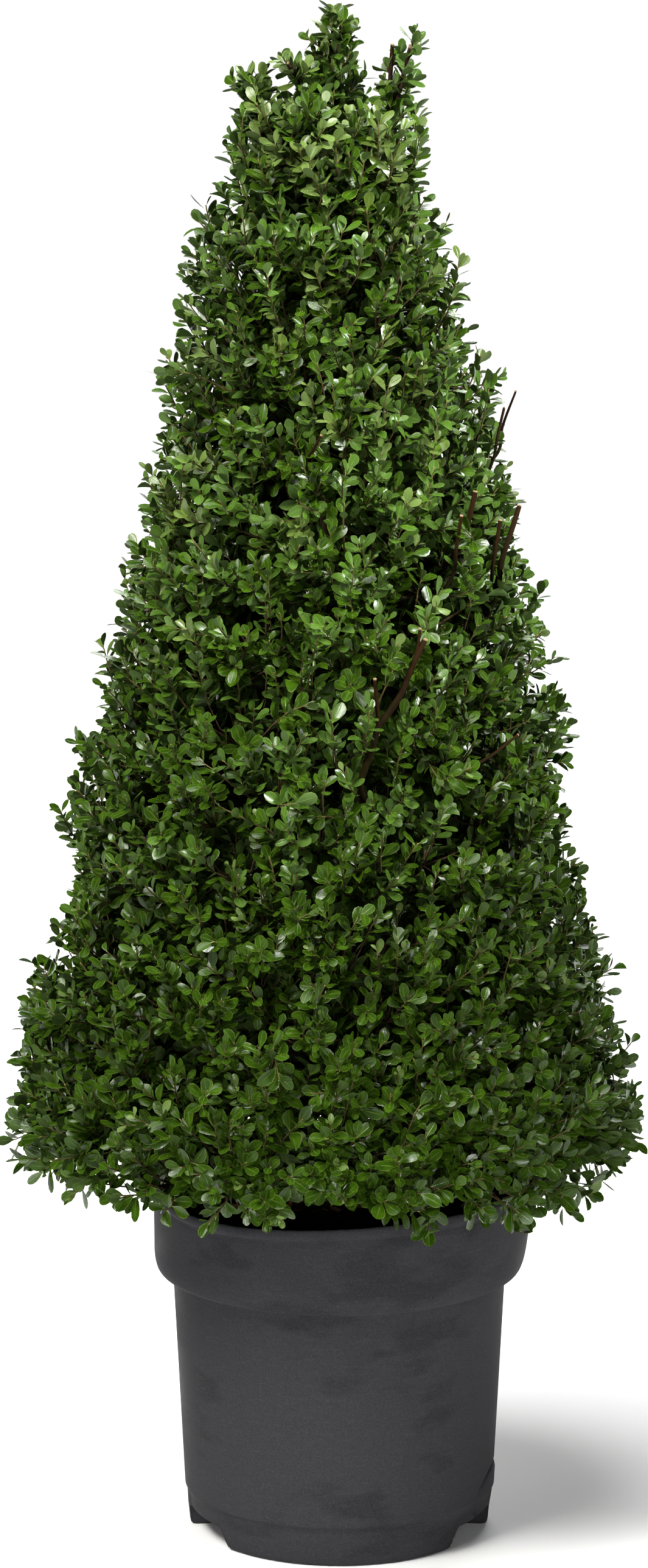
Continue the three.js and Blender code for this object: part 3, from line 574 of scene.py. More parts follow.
def wood_material(name, bark, furrow, scale, relief, end=None, soft=None):
    """Bark. With a soft colour the stem turns towards it along its length, and with an end colour the last of
    the stem's UV is cut wood."""
    colours = {"Bark": bark, "Furrow": furrow}
    material, tree, shader, grain = surface_material(
        name, "Bark grain", bark_grain, colours, {"Scale": scale}, 0.6, relief, 0.03
    )
    tone = grain["Color"]
    for paint, low, high, share in ((soft, 0.55, 0.95, 0.8), (end, 0.988, 0.995, 1.0)):
        if paint:
            uv = add_node(tree, "ShaderNodeUVMap").outputs[0]
            along = add_node(tree, "ShaderNodeSeparateXYZ", Vector=uv).outputs[1]
            tone = mix_colour(tree, remap(tree, along, low, high, 0, share), tone, (*paint, 1))
    tree.links.new(tone, shader.inputs["Base Color"])
    return material


def mottle(tree, given):
    """Broad soft patches of a darker tone, thin paler scratches where stretched noise crosses a level, and
    fine specks and grain."""
    place = tree.nodes.new("ShaderNodeTexCoord").outputs["Object"]
    flat = add_node(tree, "ShaderNodeMapping", Vector=place, Scale=(1, 1, 2.2)).outputs[0]
    streak = add_node(tree, "ShaderNodeMapping", Vector=place, Rotation=(0.3, 0.2, 0), Scale=(1, 1, 9))

    def field(where, share, detail):
        return noise(tree, where, times(tree, given["Scale"], share), detail)

    patch = remap(tree, field(flat, 1, 6), 0.53, 0.62)
    crossing = math_node(tree, "SUBTRACT", field(streak.outputs[0], 3.5, 6), 0.62)
    scratch = remap(tree, math_node(tree, "ABSOLUTE", crossing), 0, 0.012, 1, 0)
    speck = remap(tree, field(place, 60, 1), 0.76, 0.82)
    grain = remap(tree, field(place, 70, 2), 0.4, 0.7, 0, 0.2)
    pale = math_node(tree, "MAXIMUM", times(tree, scratch, 0.35), times(tree, speck, 0.7))
    pale = math_node(tree, "MAXIMUM", pale, grain)
    tone = mix_colour(tree, patch, given["Base"], given["Patch"])
    height = math_node(tree, "ADD", field(place, 45, 2), times(tree, pale, 0.4))
    return mix_colour(tree, pale, tone, given["Scuff"]), remap(tree, patch, 0, 1, 0.56, 0.46), height


def mottled_material(name, base, patch, scuff, scale, relief, shine):
    """A matt surface with soft patches and scuffs."""
    colours = {"Base": base, "Patch": patch, "Scuff": scuff}
    return surface_material(name, "Mottle", mottle, colours, {"Scale": scale}, 0.3, relief, shine)[0]


def crown_radius(crown, z):
    """The clipped outline: a skirt that tucks in slightly below the widest height, and above it a radius
    that falls with the 1.12th power of the height to the top radius."""
    climb = np.clip((z - crown.widest) / (crown.top - crown.widest), 0, None)
    cone = crown.radius - (crown.radius - crown.top_radius) * climb**1.12
    return np.where(z < crown.widest, crown.radius - 0.15 * (crown.widest - z), cone)


def crown_dents(angle, z):
    """Broad swellings and hollows of the outline: each a bell curve in angle and height."""
    total = np.zeros_like(z)
    for degrees, height, tall, wide, depth in DENTS:
        total += depth * np.exp(-(((z - height) / tall) ** 2) - (degrees_from(angle, degrees) / wide) ** 2)
    return total


def spread(crown, count, low, high, turn):
    """Places spread evenly over the cone: heights in proportion to the girth below them, each turned on
    from the one before by the golden angle."""
    heights = np.linspace(low, high, 400)
    share = np.cumsum(crown_radius(crown, heights))
    share = (share - share[0]) / (share[-1] - share[0])
    index = np.arange(count) + 0.5
    return index * GOLDEN_ANGLE + turn, np.interp(index / count, share, heights)


def trunk_path(pot, wood, crown, count):
    """The trunk's middle line: upright out of the compost, then a slight sway to the crown's axis."""
    foot = pot.compost_level - 0.001
    rise = wood.trunk_top - foot
    sway = 0.005
    return curve_through(
        (
            (0, 0, foot),
            (0, 0, foot + FLARE_HEIGHT),
            (-sway, -sway, foot + 0.35 * rise),
            (crown.axis_x + sway, sway, foot + 0.7 * rise),
            (crown.axis_x, 0, wood.trunk_top),
        ),
        count,
    )


def limb_lines(pot, wood, crown):
    """Middle lines and radii of trunk, boughs and leaders, by the same rule as the solids: boughs leave the
    trunk in turn and climb outwards to their sector; leaders climb inside the crown and out of its top."""
    trunk, radii = tapered(trunk_path(pot, wood, crown, TRUNK_POINTS), wood.trunk_radius, wood.trunk_tip)
    flare = wood.flare * np.exp(-3 * (trunk[:, 2] - trunk[0, 2]) / FLARE_HEIGHT)
    lines = {"trunk": (trunk, radii + flare)}

    def nearest(path, z):
        return path[np.argmin(np.abs(path[:, 2] - z))]

    for tier, (sides, leave, meet, thick) in TIERS.items():
        reach = CORE_SHARE * (float(crown_radius(crown, np.array(meet))) - CORE_DEPTH) - CORE_GAP
        for i, side in enumerate(sides):
            angle = FRONT + i * math.tau / len(sides)
            leaving = leave + 0.013 * (2 * i % len(sides))
            points = (
                nearest(trunk, leaving),
                polar(0.28 * reach, angle, mix(leaving, meet, 0.34), BEND_AXIS),
                polar(0.66 * reach, angle, mix(leaving, meet, 0.7), crown.axis_x),
                polar(reach, angle, meet, crown.axis_x),
            )
            path = curve_through(points, BOUGH_POINTS)
            lines[f"bough_{tier}_{side}"] = tapered(path, wood.bough_radius * thick, BOUGH_TIP)
    for i, (side, (foot, tip)) in enumerate(LEADERS.items()):
        foot, tip = np.array(foot), np.array(tip)
        angle = math.atan2(foot[1], foot[0] - crown.axis_x)
        leaving = LEADER_FOOT + LEADER_STEP * i
        climb = [(0.016, leaving + 0.048), *LEADER_CLIMB]
        start = [nearest(trunk, leaving)] + [polar(radius, angle, z, crown.axis_x) for radius, z in climb]
        if side == "middle":
            start = [np.array((crown.axis_x, 0, 0.899))]
        end = tip - unit(tip - foot) * 0.024
        bend = mix(foot, end, 0.5) + np.array((0.002, -0.001, 0))
        path = curve_through((*start, foot, bend, end), LEADER_POINTS)
        lines["leader_" + side] = tapered(path, *LEADER_RADII)
    for name, (leader, leaving, tip) in LEADER_FORKS.items():
        foot, tip = nearest(lines[leader][0], leaving), np.array(tip)
        bend = mix(foot, tip, 0.5) + np.array((0, 0, -0.003))
        lines[name] = tapered(curve_through((foot, bend, tip), FORK_POINTS), *FORK_RADII)
    return lines


def bark_tube(path, radii, sides, relief, seed):
    """A tube whose radius swells and sinks by long ridges: a random field over the angle and, stretched six
    times, over the length."""
    turn = np.arange(sides) * math.tau / sides
    run = np.concatenate([[0], np.cumsum(np.linalg.norm(np.diff(path, axis=0), axis=1))])
    place = polar(0.02, turn[None, :], run[:, None] / 6, 0)
    ridges = ripple(place, 0.016, seed) + 0.6 * ripple(place, 0.007, seed + 1)
    rough = radii[:, None] * (1 + relief * ridges)
    return tubes(path[None], rough[None], sides, run / run[-1])


def branch_curves(crown, lines, rng):
    """Branches as cubic curves. Their ends are spread over the cone some way under its face, and each starts
    from the limb point that lies best below and inside its end."""
    limb_points = np.concatenate([path[4:] for path, _ in lines.values()])
    angle, z = spread(crown, crown.branches, 0.290, 0.992, 0.4)
    inset = rng.uniform(0.040, 0.068, crown.branches)
    ends = polar(np.maximum(crown_radius(crown, z) - inset, 0.012), angle, z, crown.axis_x)
    wanted = ends - np.array([0, 0, 0.06]) * ease(0.28, 0.40, z)[:, None]
    inward = (np.array([crown.axis_x, 0, 0]) - wanted) * np.array([1, 1, 0])
    apart = np.linalg.norm((wanted + 0.35 * inward)[:, None] - limb_points[None], axis=-1)
    starts = limb_points[np.argmin(apart, 1)]
    span = np.linalg.norm(ends - starts, axis=1)[:, None]
    outward = unit((ends - starts) * np.array([1, 1, 0.0]))
    up = np.array([0, 0, 1.0])
    return (
        starts,
        starts + (outward * 0.35 + up * 0.10) * span,
        ends - (outward * 0.125 + up * 0.15) * span,
        ends,
    )


def skirt_lift(angle):
    """How much higher the skirt's edge is at an angle: bell curves that lift it on the left and in the
    middle of the front, and let it hang at the back and in two places on the right."""
    total = np.zeros_like(angle)
    for degrees, wide, rise in SKIRT_BELLS:
        total += rise * bell(degrees_from(angle - FRONT, degrees), wide)
    return total


def face_shoots(crown, leaf, rng):
    """Shoots that make the clipped face: tips just under the outline, a third of them deeper, sunk in dark
    pockets where a random field is high, some standing proud; aimed out and up, flatter at the skirt and
    steeper at the top."""
    count = crown.shoots
    angle, z = spread(crown, count, crown.skirt, 0.996, 1.7)
    stagger = 0.34 * math.sqrt(0.66 / count)
    angle = angle + rng.normal(0, stagger, count) / crown_radius(crown, z)
    z = np.clip(z + rng.normal(0, stagger, count), crown.skirt - 0.006, 1.002)
    z = z + skirt_lift(angle) * (1 - ease(0.28, 0.34, z))
    face = polar(crown_radius(crown, z), angle, z, crown.axis_x)
    layer = rng.random(count)
    outer, middle, inner = (rng.uniform(*layer_depth, count) for layer_depth in FACE_LAYERS)
    depth = np.select([layer < OUTER_SHARE, layer < OUTER_TWO], [outer, middle], inner)
    shade = depth / 0.05
    depth = depth + 0.026 * ease(0.45, 1.0, ripple(face, 0.050, crown.seed + 3))
    depth = depth - np.where(rng.random(count) < PROUD_SHARE, rng.uniform(0.004, 0.012, count), 0)
    lumps = crown.lumps * ripple(face, 0.105, crown.seed + 4) + crown_dents(angle, z)
    tips = polar(crown_radius(crown, z) + lumps - depth, angle, z, crown.axis_x)
    stray = rng.random(count) < STRAY_SHARE
    lift = np.radians(np.where(stray, rng.normal(28, 24, count), rng.normal(48, 12, count)))
    lift = mix(np.radians(rng.normal(4, 18, count).clip(-24, 60)), lift, ease(0.275, 0.38, z))
    lift = mix(lift, np.radians(rng.normal(70, 8, count)), ease(0.90, 1.0, z))
    swing = angle + np.radians(np.where(stray, rng.normal(0, 48, count), rng.normal(0, 22, count)))
    stub = rng.random(count) < STUB_SHARE
    larger = 1.18 - 0.18 * ease(0.29, 0.42, z) + 0.10 * ease(0.90, 1.0, z)
    return {
        "tip": tips,
        "aim": polar(np.cos(lift), swing, np.sin(lift), 0),
        "leaves": np.where(stub, 5, np.round(rng.normal(leaf.per_shoot, 1.8, count))).astype(int),
        "scale": rng.uniform(0.92, 1.1, count) * larger,
        "gap": rng.uniform(0.85, 1.25, count) * leaf.spacing,
        "shade": shade,
    }


def shade_shoots(crown, leaf, rng):
    """Old shoots far inside, half of them low down, that close the view through the crown."""
    count = crown.shade_shoots
    low = count // 2
    halves = spread(crown, low, 0.296, 0.46, 0.9), spread(crown, count - low, 0.46, 0.97, 2.2)
    angle, z = (np.concatenate(pair) for pair in zip(*halves))
    depth = rng.uniform(0.045, 0.120, count)
    tips = polar(np.maximum(crown_radius(crown, z) - depth, 0.02), angle, z, crown.axis_x)
    lift = np.radians(rng.normal(40, 20, count))
    swing = angle + np.radians(rng.normal(0, 40, count))
    return {
        "tip": tips,
        "aim": polar(np.cos(lift), swing, np.sin(lift), 0),
        "leaves": np.full(count, leaf.per_shoot + 3),
        "scale": np.full(count, 1.6),
        "gap": np.full(count, 1.2 * leaf.spacing),
        "shade": np.full(count, INNER_SHADE),
    }


def top_shoots(crown, leaf, rng):
    """Shoots over the open top: tips on a low dome, spread by the golden angle and nearly upright."""
    count = crown.top_shoots
    radius = 0.071 * np.sqrt((np.arange(count) + 0.5) / count)
    angle = np.arange(count) * GOLDEN_ANGLE
    height = 1.036 - 2.6 * radius**2 + rng.normal(0, 0.015, count)
    sway = rng.normal(0, 0.18, (count, 3))
    return {
        "tip": polar(radius, angle, height, crown.axis_x),
        "aim": unit(polar(4.5 * radius, angle, np.ones(count), 0) + sway),
        "leaves": rng.integers(15, 22, count),
        "scale": rng.uniform(0.98, 1.14, count),
        "gap": np.full(count, 1.2 * leaf.spacing),
        "shade": np.zeros(count),
    }


def leader_shoots(lines, leaf, rng):
    """Side shoots of the leaders: up each leader in a golden-angle spiral, shorter towards its tip, and the
    last one in line with it."""
    groups = []
    for number, (name, (count, widest, narrowest, lowest, bare)) in enumerate(LEADER_SHOOTS.items()):
        path = lines[name][0]
        stations = np.linspace(lowest, path[-1, 2] - bare, count)
        at = np.argmin(np.abs(path[:, 2][None] - stations[:, None]), 1)
        angle = np.arange(count) * GOLDEN_ANGLE + number * 1.3
        lift = np.radians(rng.normal(54, 10, count))
        aim = polar(np.cos(lift), angle, np.sin(lift), 0)
        aim[-1] = unit(path[-1] - path[-6]) if bare < 0.01 else aim[-1]
        reach = np.linspace(widest, narrowest, count) * rng.uniform(0.7, 1.25, count)
        groups.append(
            {
                "root": path[at],
                "tip": path[at] + aim * reach[:, None],
                "aim": unit(aim + np.array([0, 0, 0.35])),
                "leaves": np.linspace(11, 8, count).astype(int),
                "scale": rng.uniform(0.94, 1.14, count),
                "gap": np.full(count, 1.2 * leaf.spacing),
                "shade": np.zeros(count),
            }
        )
    return stack(groups)


def stack(groups):
    """Several groups of shoots as one, row after row."""
    return {key: np.concatenate([group[key] for group in groups]) for key in groups[0]}


def grow(pot, wood, crown, leaf):
    """Branches from the limbs, and shoots from the branches and leaders.

    Each shoot starts from the branch end that lies best behind its tip. It is a cubic curve that leaves its
    branch outwards and turns to its own direction at the tip. Its tone is a random draw times painted shade
    and
    light: it falls with its depth as painted shade inside the crown, rises with its height as painted light
    from above, and is higher on the left and lower at the right of the skirt as painted light from the left."""
    rng = np.random.default_rng(crown.seed)
    lines = limb_lines(pot, wood, crown)
    branches = branch_curves(crown, lines, rng)
    shoots = stack([kind(crown, leaf, rng) for kind in (face_shoots, shade_shoots, top_shoots)])
    behind = shoots["tip"] - shoots["aim"] * 0.05
    ends = branches[3]
    shoots["root"] = ends[np.argmin(np.linalg.norm(behind[:, None] - ends[None], axis=-1), 1)]
    shoots = stack([shoots, leader_shoots(lines, leaf, rng)])
    roots, tips = shoots["root"], shoots["tip"]
    span = np.linalg.norm(tips - roots, axis=1)[:, None]
    out = unit((tips - roots) * np.array([1, 1, 0.3]))
    count = len(tips)
    curve = (
        roots,
        roots + (out * 0.35 + rng.normal(0, 0.09, (count, 3))) * span,
        tips - shoots["aim"] * np.clip(0.42 * span, 0.005, 0.04),
        tips,
    )
    shoots["curve"] = curve
    shoots["path"] = bezier(*curve, np.broadcast_to(TWIG_STEPS, (count, len(TWIG_STEPS))))[0]
    shoots["clear"] = outside_pot(pot, tips, 0.003) & outside_pot(pot, shoots["path"][:, 3], 0.003)
    shoots["hand"] = rng.random(count)
    shoots["clipped"] = rng.random(count) < 0.72
    drift = 0.5 + 0.22 * ripple(tips, 0.12, crown.seed + 5)
    draw = np.clip(0.75 * rng.random(count) + 0.25 * drift, 0, 0.999)
    # Painted shade and light in the tone: deeper shoots, lower shoots and the right of the skirt take darker
    # tones, higher shoots and the left side lighter ones, as the light falls from the upper left.
    shade = np.where(shoots["shade"] > FAR_INSIDE, 0.4, 1 - 0.45 * np.clip(shoots["shade"], -0.7, 1))
    painted_light_and_shade = mix(0.42, 1.20, ease(0.30, 0.96, tips[:, 2]))
    side, skirt = np.clip(tips[:, 0] / 0.22, -1, 1), 1 - ease(0.34, 0.50, tips[:, 2])
    painted_light_and_shade *= 1 - 0.30 * np.minimum(side, 0) - 0.45 * np.maximum(side, 0) * skirt
    shoots["tone"] = np.clip(draw * shade * painted_light_and_shade, 0, 0.999)
    return branches, shoots


def cut_stem_lines(crown, ends):
    """Middle lines and radii of the cut stems: from the branch end nearest to the foot, up to the tip. Their
    points are given as degrees from the front and height on the clipped face, and depth behind it; a depth
    below zero stands proud of the face."""
    for foot_radius, tip_radius, marks in CUT_STEMS:
        degrees, z, depth = np.array(marks).T
        angle = FRONT + np.radians(degrees)
        reach = crown_radius(crown, z) + crown_dents(angle, z) - np.minimum(depth, 0)
        behind = np.maximum(depth, 0)[:, None] * np.array([0, 1, -0.23])
        points = polar(reach, angle, z, crown.axis_x) + behind
        start = ends[np.argmin(np.linalg.norm(ends - points[0] + np.array([0, 0, 0.03]), axis=1))]
        yield tapered(curve_through((start, *points), CUT_STEM_POINTS), foot_radius, tip_radius)


def outside_pot(pot, points, margin):
    """True where a point is clear of the pot's collar and of the compost."""
    reach = np.hypot(points[..., 0], points[..., 1])
    return (reach > pot.rim_radius + 0.005 + margin) | (points[..., 2] > pot.height + margin)


def leaf_places(pot, crown, shoots, leaf, rng):
    """Root, direction, facing, size, tone and level of every leaf. Leaves stand in a golden-angle spiral down
    each shoot from its tip, lean out further towards its foot, and turn part of the way to the light. Leaves
    that would touch the pot, pass the box or hang under the hem are left out."""
    order = np.arange(shoots["leaves"].max())[None, :]
    present = (order < shoots["leaves"][:, None]) & shoots["clear"][:, None]
    clipped, hand = shoots["clipped"][:, None], shoots["hand"][:, None]
    back = shoots["gap"][:, None] * (0.25 + order * rng.uniform(0.9, 1.1, present.shape))
    pace = 3 * np.linalg.norm(shoots["curve"][3] - shoots["curve"][2], axis=1)[:, None]
    at = np.clip(1 - back / np.maximum(pace, 0.03), 0.12, 1)
    _, axes = bezier(*shoots["curve"], at)
    step = np.clip(np.searchsorted(TWIG_STEPS, at) - 1, 0, len(TWIG_STEPS) - 2)
    share = (at - TWIG_STEPS[step]) / (TWIG_STEPS[step + 1] - TWIG_STEPS[step])
    shoot = np.arange(len(at))[:, None]
    roots = mix(shoots["path"][shoot, step], shoots["path"][shoot, step + 1], share[..., None])
    first, second = side_frames(axes)
    turn = (order * GOLDEN_ANGLE + hand * math.tau + rng.normal(0, 0.25, present.shape))[..., None]
    aside = first * np.cos(turn) + second * np.sin(turn)
    lean = mix(22, 50, np.clip(order / 7, 0, 1)) + rng.normal(0, 10, present.shape) + 6 * clipped
    lean = np.radians(lean)[..., None]
    directions = np.cos(lean) * axes + np.sin(lean) * aside
    facing = np.sin(lean) * axes - np.cos(lean) * aside
    outward = unit(roots * np.array([1, 1, 0]) + 1e-9)
    light = unit(outward * 0.55 + np.array([0, 0, 0.85]))
    light = square_to(light, directions)
    facing = unit(facing + light * rng.uniform(0.0, 0.55, present.shape)[..., None])
    small = mix(np.where(clipped, 0.82, 0.5), 1, np.clip(order / np.where(clipped, 3, 4), 0, 1))
    size = shoots["scale"][:, None] * small * rng.normal(1, 0.14, present.shape).clip(0.6, 1.25)
    ends = roots + directions * leaf.length * size[..., None]
    clear = outside_pot(pot, roots, 0.002) & outside_pot(pot, ends, 0.002)
    within = (ends > np.array(CAD_LOW) - OVERHANG).all(-1) & (ends < np.array(CAD_HIGH) + OVERHANG).all(-1)
    angle = np.arctan2(ends[..., 1], ends[..., 0] - crown.axis_x)
    keep = present & within & clear & (ends[..., 2] > crown.hem + skirt_lift(angle))
    tone = np.where(~clipped & (order < 3) & (hand < 0.3), 0.99, shoots["tone"][:, None])
    shade = np.broadcast_to(shoots["shade"][:, None], present.shape)[keep]
    level = (shade > BEHIND_FACE).astype(int) + (shade > FAR_INSIDE)
    # Leaves far inside take the near-black inner kind, a painted shade.
    tone = np.where(shade > FAR_INSIDE, -1, tone[keep])
    return roots[keep], directions[keep], facing[keep], size[keep], tone, level


def leaf_blades(roots, directions, facing, size, leaf, rng, level):
    """Leaves as thin blades of a few faces: a point at the stalk, then rows of three points across an
    egg-shaped outline, folded at the midrib and curled along it. The last row closes the round tip. Leaves of
    a higher level, further inside, have fewer rows."""
    count = len(roots)
    edge, middle, half = BLADE_ROWS[level]
    along, across = np.stack([edge, middle, edge], -1), np.outer(half, [-1, 0, 1])
    sideways = unit(np.cross(directions, facing))
    facing = np.cross(sideways, directions)
    long = (leaf.length * size)[:, None]
    broad = (leaf.width * size * rng.uniform(0.84, 1.12, count))[:, None]
    fold = np.tan(np.radians(rng.normal(3, 19, count)))[:, None]
    curl = rng.normal(0.10, 0.17, count)[:, None]
    s, x = np.append(0, along), np.append(0, across)
    lift = np.abs(x) * broad * fold - curl * s**2 * long
    vertices = (
        roots[:, None]
        + directions[:, None] * (s * long)[..., None]
        + sideways[:, None] * (x * broad)[..., None]
        + facing[:, None] * lift[..., None]
    )
    row = 1 + 3 * np.arange(len(along) - 1)[:, None]
    left = np.concatenate([row, row + 1, row + 4, row + 3], 1)
    quads = np.concatenate([left, left + 1])
    stalk = np.array([[0, 2, 1], [0, 3, 2]])
    offsets = (np.arange(count) * len(s))[:, None, None]
    u = np.append(0.5, np.tile([0.0, 0.5, 1.0], len(along)))
    faces = [(quads + offsets).reshape(-1, 4), (stalk + offsets).reshape(-1, 3)]
    return vertices.reshape(-1, 3), faces, np.tile(np.stack([u, s], -1), (count, 1))


def foot_profiles(pot, away):
    """The pot's profile from the middle of its underside up to the band round its foot. Where a channel
    crosses, a second profile, lifted and cut in, takes its place. The channel's sides slant."""
    band, top, low = pot.foot_band, pot.channel_height, pot.body_foot_radius
    edge = [(0.1106, 0.0245), (low - 0.0013, band - 0.0013), (low - 0.0002, band - 0.0003)]
    plain = [(0, 0), (0.058, 0), (0.060, 0), (0.062, 0), (0.095, 0), (0.1015, 0), (0.1042, 0.0006)]
    plain += [(0.1058, 0.0020), (0.1066, 0.0042), (0.1076, 0.009), (0.1092, top)]
    cut = [(0, 0), (0.058, 0), (0.0595, 0.006), (0.0605, top - 0.002), (0.064, top), (0.095, top)]
    cut += [(0.103, top), (0.1065, top), (0.1084, top + 0.0003), (0.1094, top + 0.0010)]
    cut += [(0.1099, top + 0.0024)]
    plain, cut = np.array(plain + edge, float)[:, None], np.array(cut + edge, float)[:, None]
    slant = 3 * (1 - np.clip(plain[..., 1] / top, 0, 1))
    channel = ease(52.2 - slant, 53.8 - slant, away) * (1 - ease(79.2 + slant, 80.8 + slant, away))
    return mix(plain, cut, channel[..., None])


def wall_profile(pot):
    """The pot's profile up the wall, out under the collar, up to the lip and over it, then down inside to the
    middle of the compost bed; and how many of its steps are inside."""
    band, ledge, wall = pot.foot_band, pot.collar_foot, pot.wall
    low, high, out, rim = pot.body_foot_radius, pot.body_top_radius, pot.collar_foot_radius, pot.rim_radius
    lower, upper = np.linspace(0.0340, 0.056, 20), np.linspace(0.060, ledge - 0.004, 22)
    wall_z = np.concatenate([[band + 0.0006, band + 0.0016], lower, upper])
    wall_r = mix(low + 0.0005, high, (wall_z - band) / (ledge - band))
    under = [(0.0001, 0.0008), (0.0006, 0.0017), (0.002, 0.0019)]
    turned = [(-0.0040, 0.0004), (-0.0022, -0.0002), (-0.0011, 0.0002), (-0.0004, 0.0013), (0.0002, 0.0030)]
    turned += [(0.0010, 0.0056), (0.0016, 0.009)]
    lip = [(-0.0013, -0.0094), (-0.0010, -0.0084), (-0.0002, -0.0074), (0.0007, -0.0062), (0.0010, -0.0042)]
    lip += [(0.0008, -0.0020), (0.0003, -0.0007), (-0.0005, 0), (-0.0014, 0), (-0.0021, -0.0006)]
    lip += [(-0.0024, -0.0018), (-0.0027, -0.0060)]
    climb = np.linspace(0, 1, 14)
    skin = list(zip(wall_r, wall_z))
    skin += [(high + r, ledge + z) for r, z in under] + [(out + r, ledge + z) for r, z in turned]
    skin += list(zip(mix(out + 0.0022, rim - 0.0012, climb), mix(ledge + 0.014, pot.height - 0.0112, climb)))
    skin += [(rim + r, pot.height + z) for r, z in lip]
    inside = [(rim - 0.0040, pot.height - 0.014), (rim - 0.0052, pot.height - 0.022), (out - 0.001, 0.2300)]
    inside += [(out - wall, ledge + 0.006), (out - 0.006, ledge + 0.0035), (high - wall, ledge + 0.003)]
    inside += [(high - wall - 0.002, 0.185), (0.06, 0.184), (0.0, 0.184)]
    return np.array(skin + inside), len(inside)


def pot_shape(pot, columns):
    """The pot as points for each step along its profile and each angle round it. The foot swells beside its
    channels, an arched groove frames one on the right, and the collar leans, waves, creases and sags."""
    turn = np.arange(columns) * math.tau / columns
    degrees = degrees_from(turn - FRONT, 0)
    away = np.minimum(np.abs(degrees), 180 - np.abs(degrees))
    steps, inside = wall_profile(pot)
    steps = np.broadcast_to(steps[:, None], (len(steps), columns, 2))
    profile = np.concatenate([foot_profiles(pot, away), steps])
    radius, z = profile[..., 0].copy(), profile[..., 1].copy()
    skin = (np.arange(len(profile)) < len(profile) - inside)[:, None]
    beside = ease(79, 81, away) * np.clip(1 - z / pot.foot_band, 0, 1) * (radius > pot.foot_radius - 0.006)
    radius += 0.0036 * beside * skin
    arch = 1 - np.sqrt(((degrees - 84) / 20.7) ** 2 + ((z - 0.029) / 0.0198) ** 2)
    groove = 0.0034 * bell(arch, 0.055) - 0.0010 * ease(0.04, 0.30, arch)
    radius -= groove * skin * (z > pot.channel_height + 0.001)
    share = np.clip((z - pot.collar_foot) / (pot.height - pot.collar_foot), 0, None)
    wave = 0.0010 * np.sin(2 * turn + 0.6) + 0.0007 * np.sin(3 * turn + 2.1) + 0.0004 * np.sin(7 * turn)
    crease = bell(z - pot.height + 0.0095, 0.0022) * (0.5 + 0.5 * np.cos(np.radians(degrees - 35)))
    radius += share**2 * wave - 0.0008 * crease * skin
    points = polar(radius, turn[None, :], z, 0)
    points[..., 0] += pot.rim_shift * share
    sag = 0.0042 * bell(degrees + 42, 34) - 0.0012 * bell(degrees - 60, 40)
    points[..., 2] += share * (pot.rim_rise * points[..., 0] / pot.rim_radius - sag)
    return points


def lathe(points):
    """A closed skin over rows of points round an axis: each row joined to the next, the first and the last
    row drawn together in one point."""
    rows, columns = len(points) - 2, points.shape[1]
    vertices = np.concatenate([points[1:-1].reshape(-1, 3), points[:1, 0], points[-1:, 0]])
    across = np.append(np.tile(np.arange(columns) / columns, rows), [0, 0])
    up = np.append(np.repeat(np.linspace(0, 1, rows), columns), [0, 1])
    return vertices, closed_rings(rows, columns), np.stack([across, up], -1)


def compost_shape(pot):
    """Compost: a round bed whose top is a radius and an angle lifted by random fields, closed below."""
    turn = np.arange(COMPOST_COLUMNS) * math.tau / COMPOST_COLUMNS
    edge = pot.rim_radius - 0.0095
    below = [(0.0, 0.190), (0.06, 0.190), (0.1165, 0.1905), (0.1190, 0.1985), (0.1308, 0.2015)]
    radius = np.concatenate([[r for r, _ in below], edge * np.linspace(1, 0, COMPOST_RINGS) ** 0.8])
    level = np.concatenate([[z for _, z in below], np.full(COMPOST_RINGS, pot.compost_level)])
    points = polar(radius[:, None], turn[None, :], level[:, None], 0)
    top = (np.arange(len(radius)) >= len(below))[:, None]
    grains = sum(height * ripple(points, wavelength, seed) for height, wavelength, seed in COMPOST_GRAINS)
    rise = grains - 0.004 * (radius[:, None] / edge) ** 3
    points[..., 2] += np.where(top, rise, 0)
    points[-1, :, 2] = points[-1, 0, 2]
    points[..., 0] += np.where(top, pot.rim_shift * 0.6, 0)
    return lathe(points)


def chip_shapes(pot, count):
    """Bark chips: flat eight-cornered slivers of random size and turn, half sunk in the compost."""
    rng = np.random.default_rng(81)
    corners = np.array([(x, y, z) for z in (-1, 1) for x, y in ((-1, -1), (1, -1), (1, 1), (-1, 1))], float)
    size = np.stack([rng.uniform(low, high, count) for low, high in CHIP_SIZES], -1)
    body = corners[None] * (1 + rng.uniform(-0.35, 0.25, (count, 8, 1))) * size[:, None]
    turn, tip = rng.uniform(0, math.tau, count), rng.normal(0, 0.45, (2, count))
    ahead = unit(np.stack([np.cos(turn), np.sin(turn), tip[0]], -1))
    above = unit(np.stack([tip[1] * np.sin(turn), -tip[1] * np.cos(turn), np.ones(count)], -1))
    above = unit(square_to(above, ahead))
    beside = np.cross(above, ahead)
    radius = 0.122 * np.sqrt(rng.uniform(0.03, 1, count))
    angle = rng.uniform(0, math.tau, count)
    place = polar(radius, angle, pot.compost_level + 0.0015 - 0.004 * (radius / 0.13) ** 3, 0.0025)
    vertices = place[:, None] + np.einsum("nci,nij->ncj", body, np.stack([ahead, beside, above], 1))
    quads = np.array([[0, 3, 2, 1], [4, 5, 6, 7], [0, 1, 5, 4], [1, 2, 6, 5], [2, 3, 7, 6], [3, 0, 4, 7]])
    faces = [(quads + (np.arange(count) * 8)[:, None, None]).reshape(-1, 4)]
    return vertices.reshape(-1, 3), faces, np.tile(np.array([[0.5, 0.5]]), (count * 8, 1))


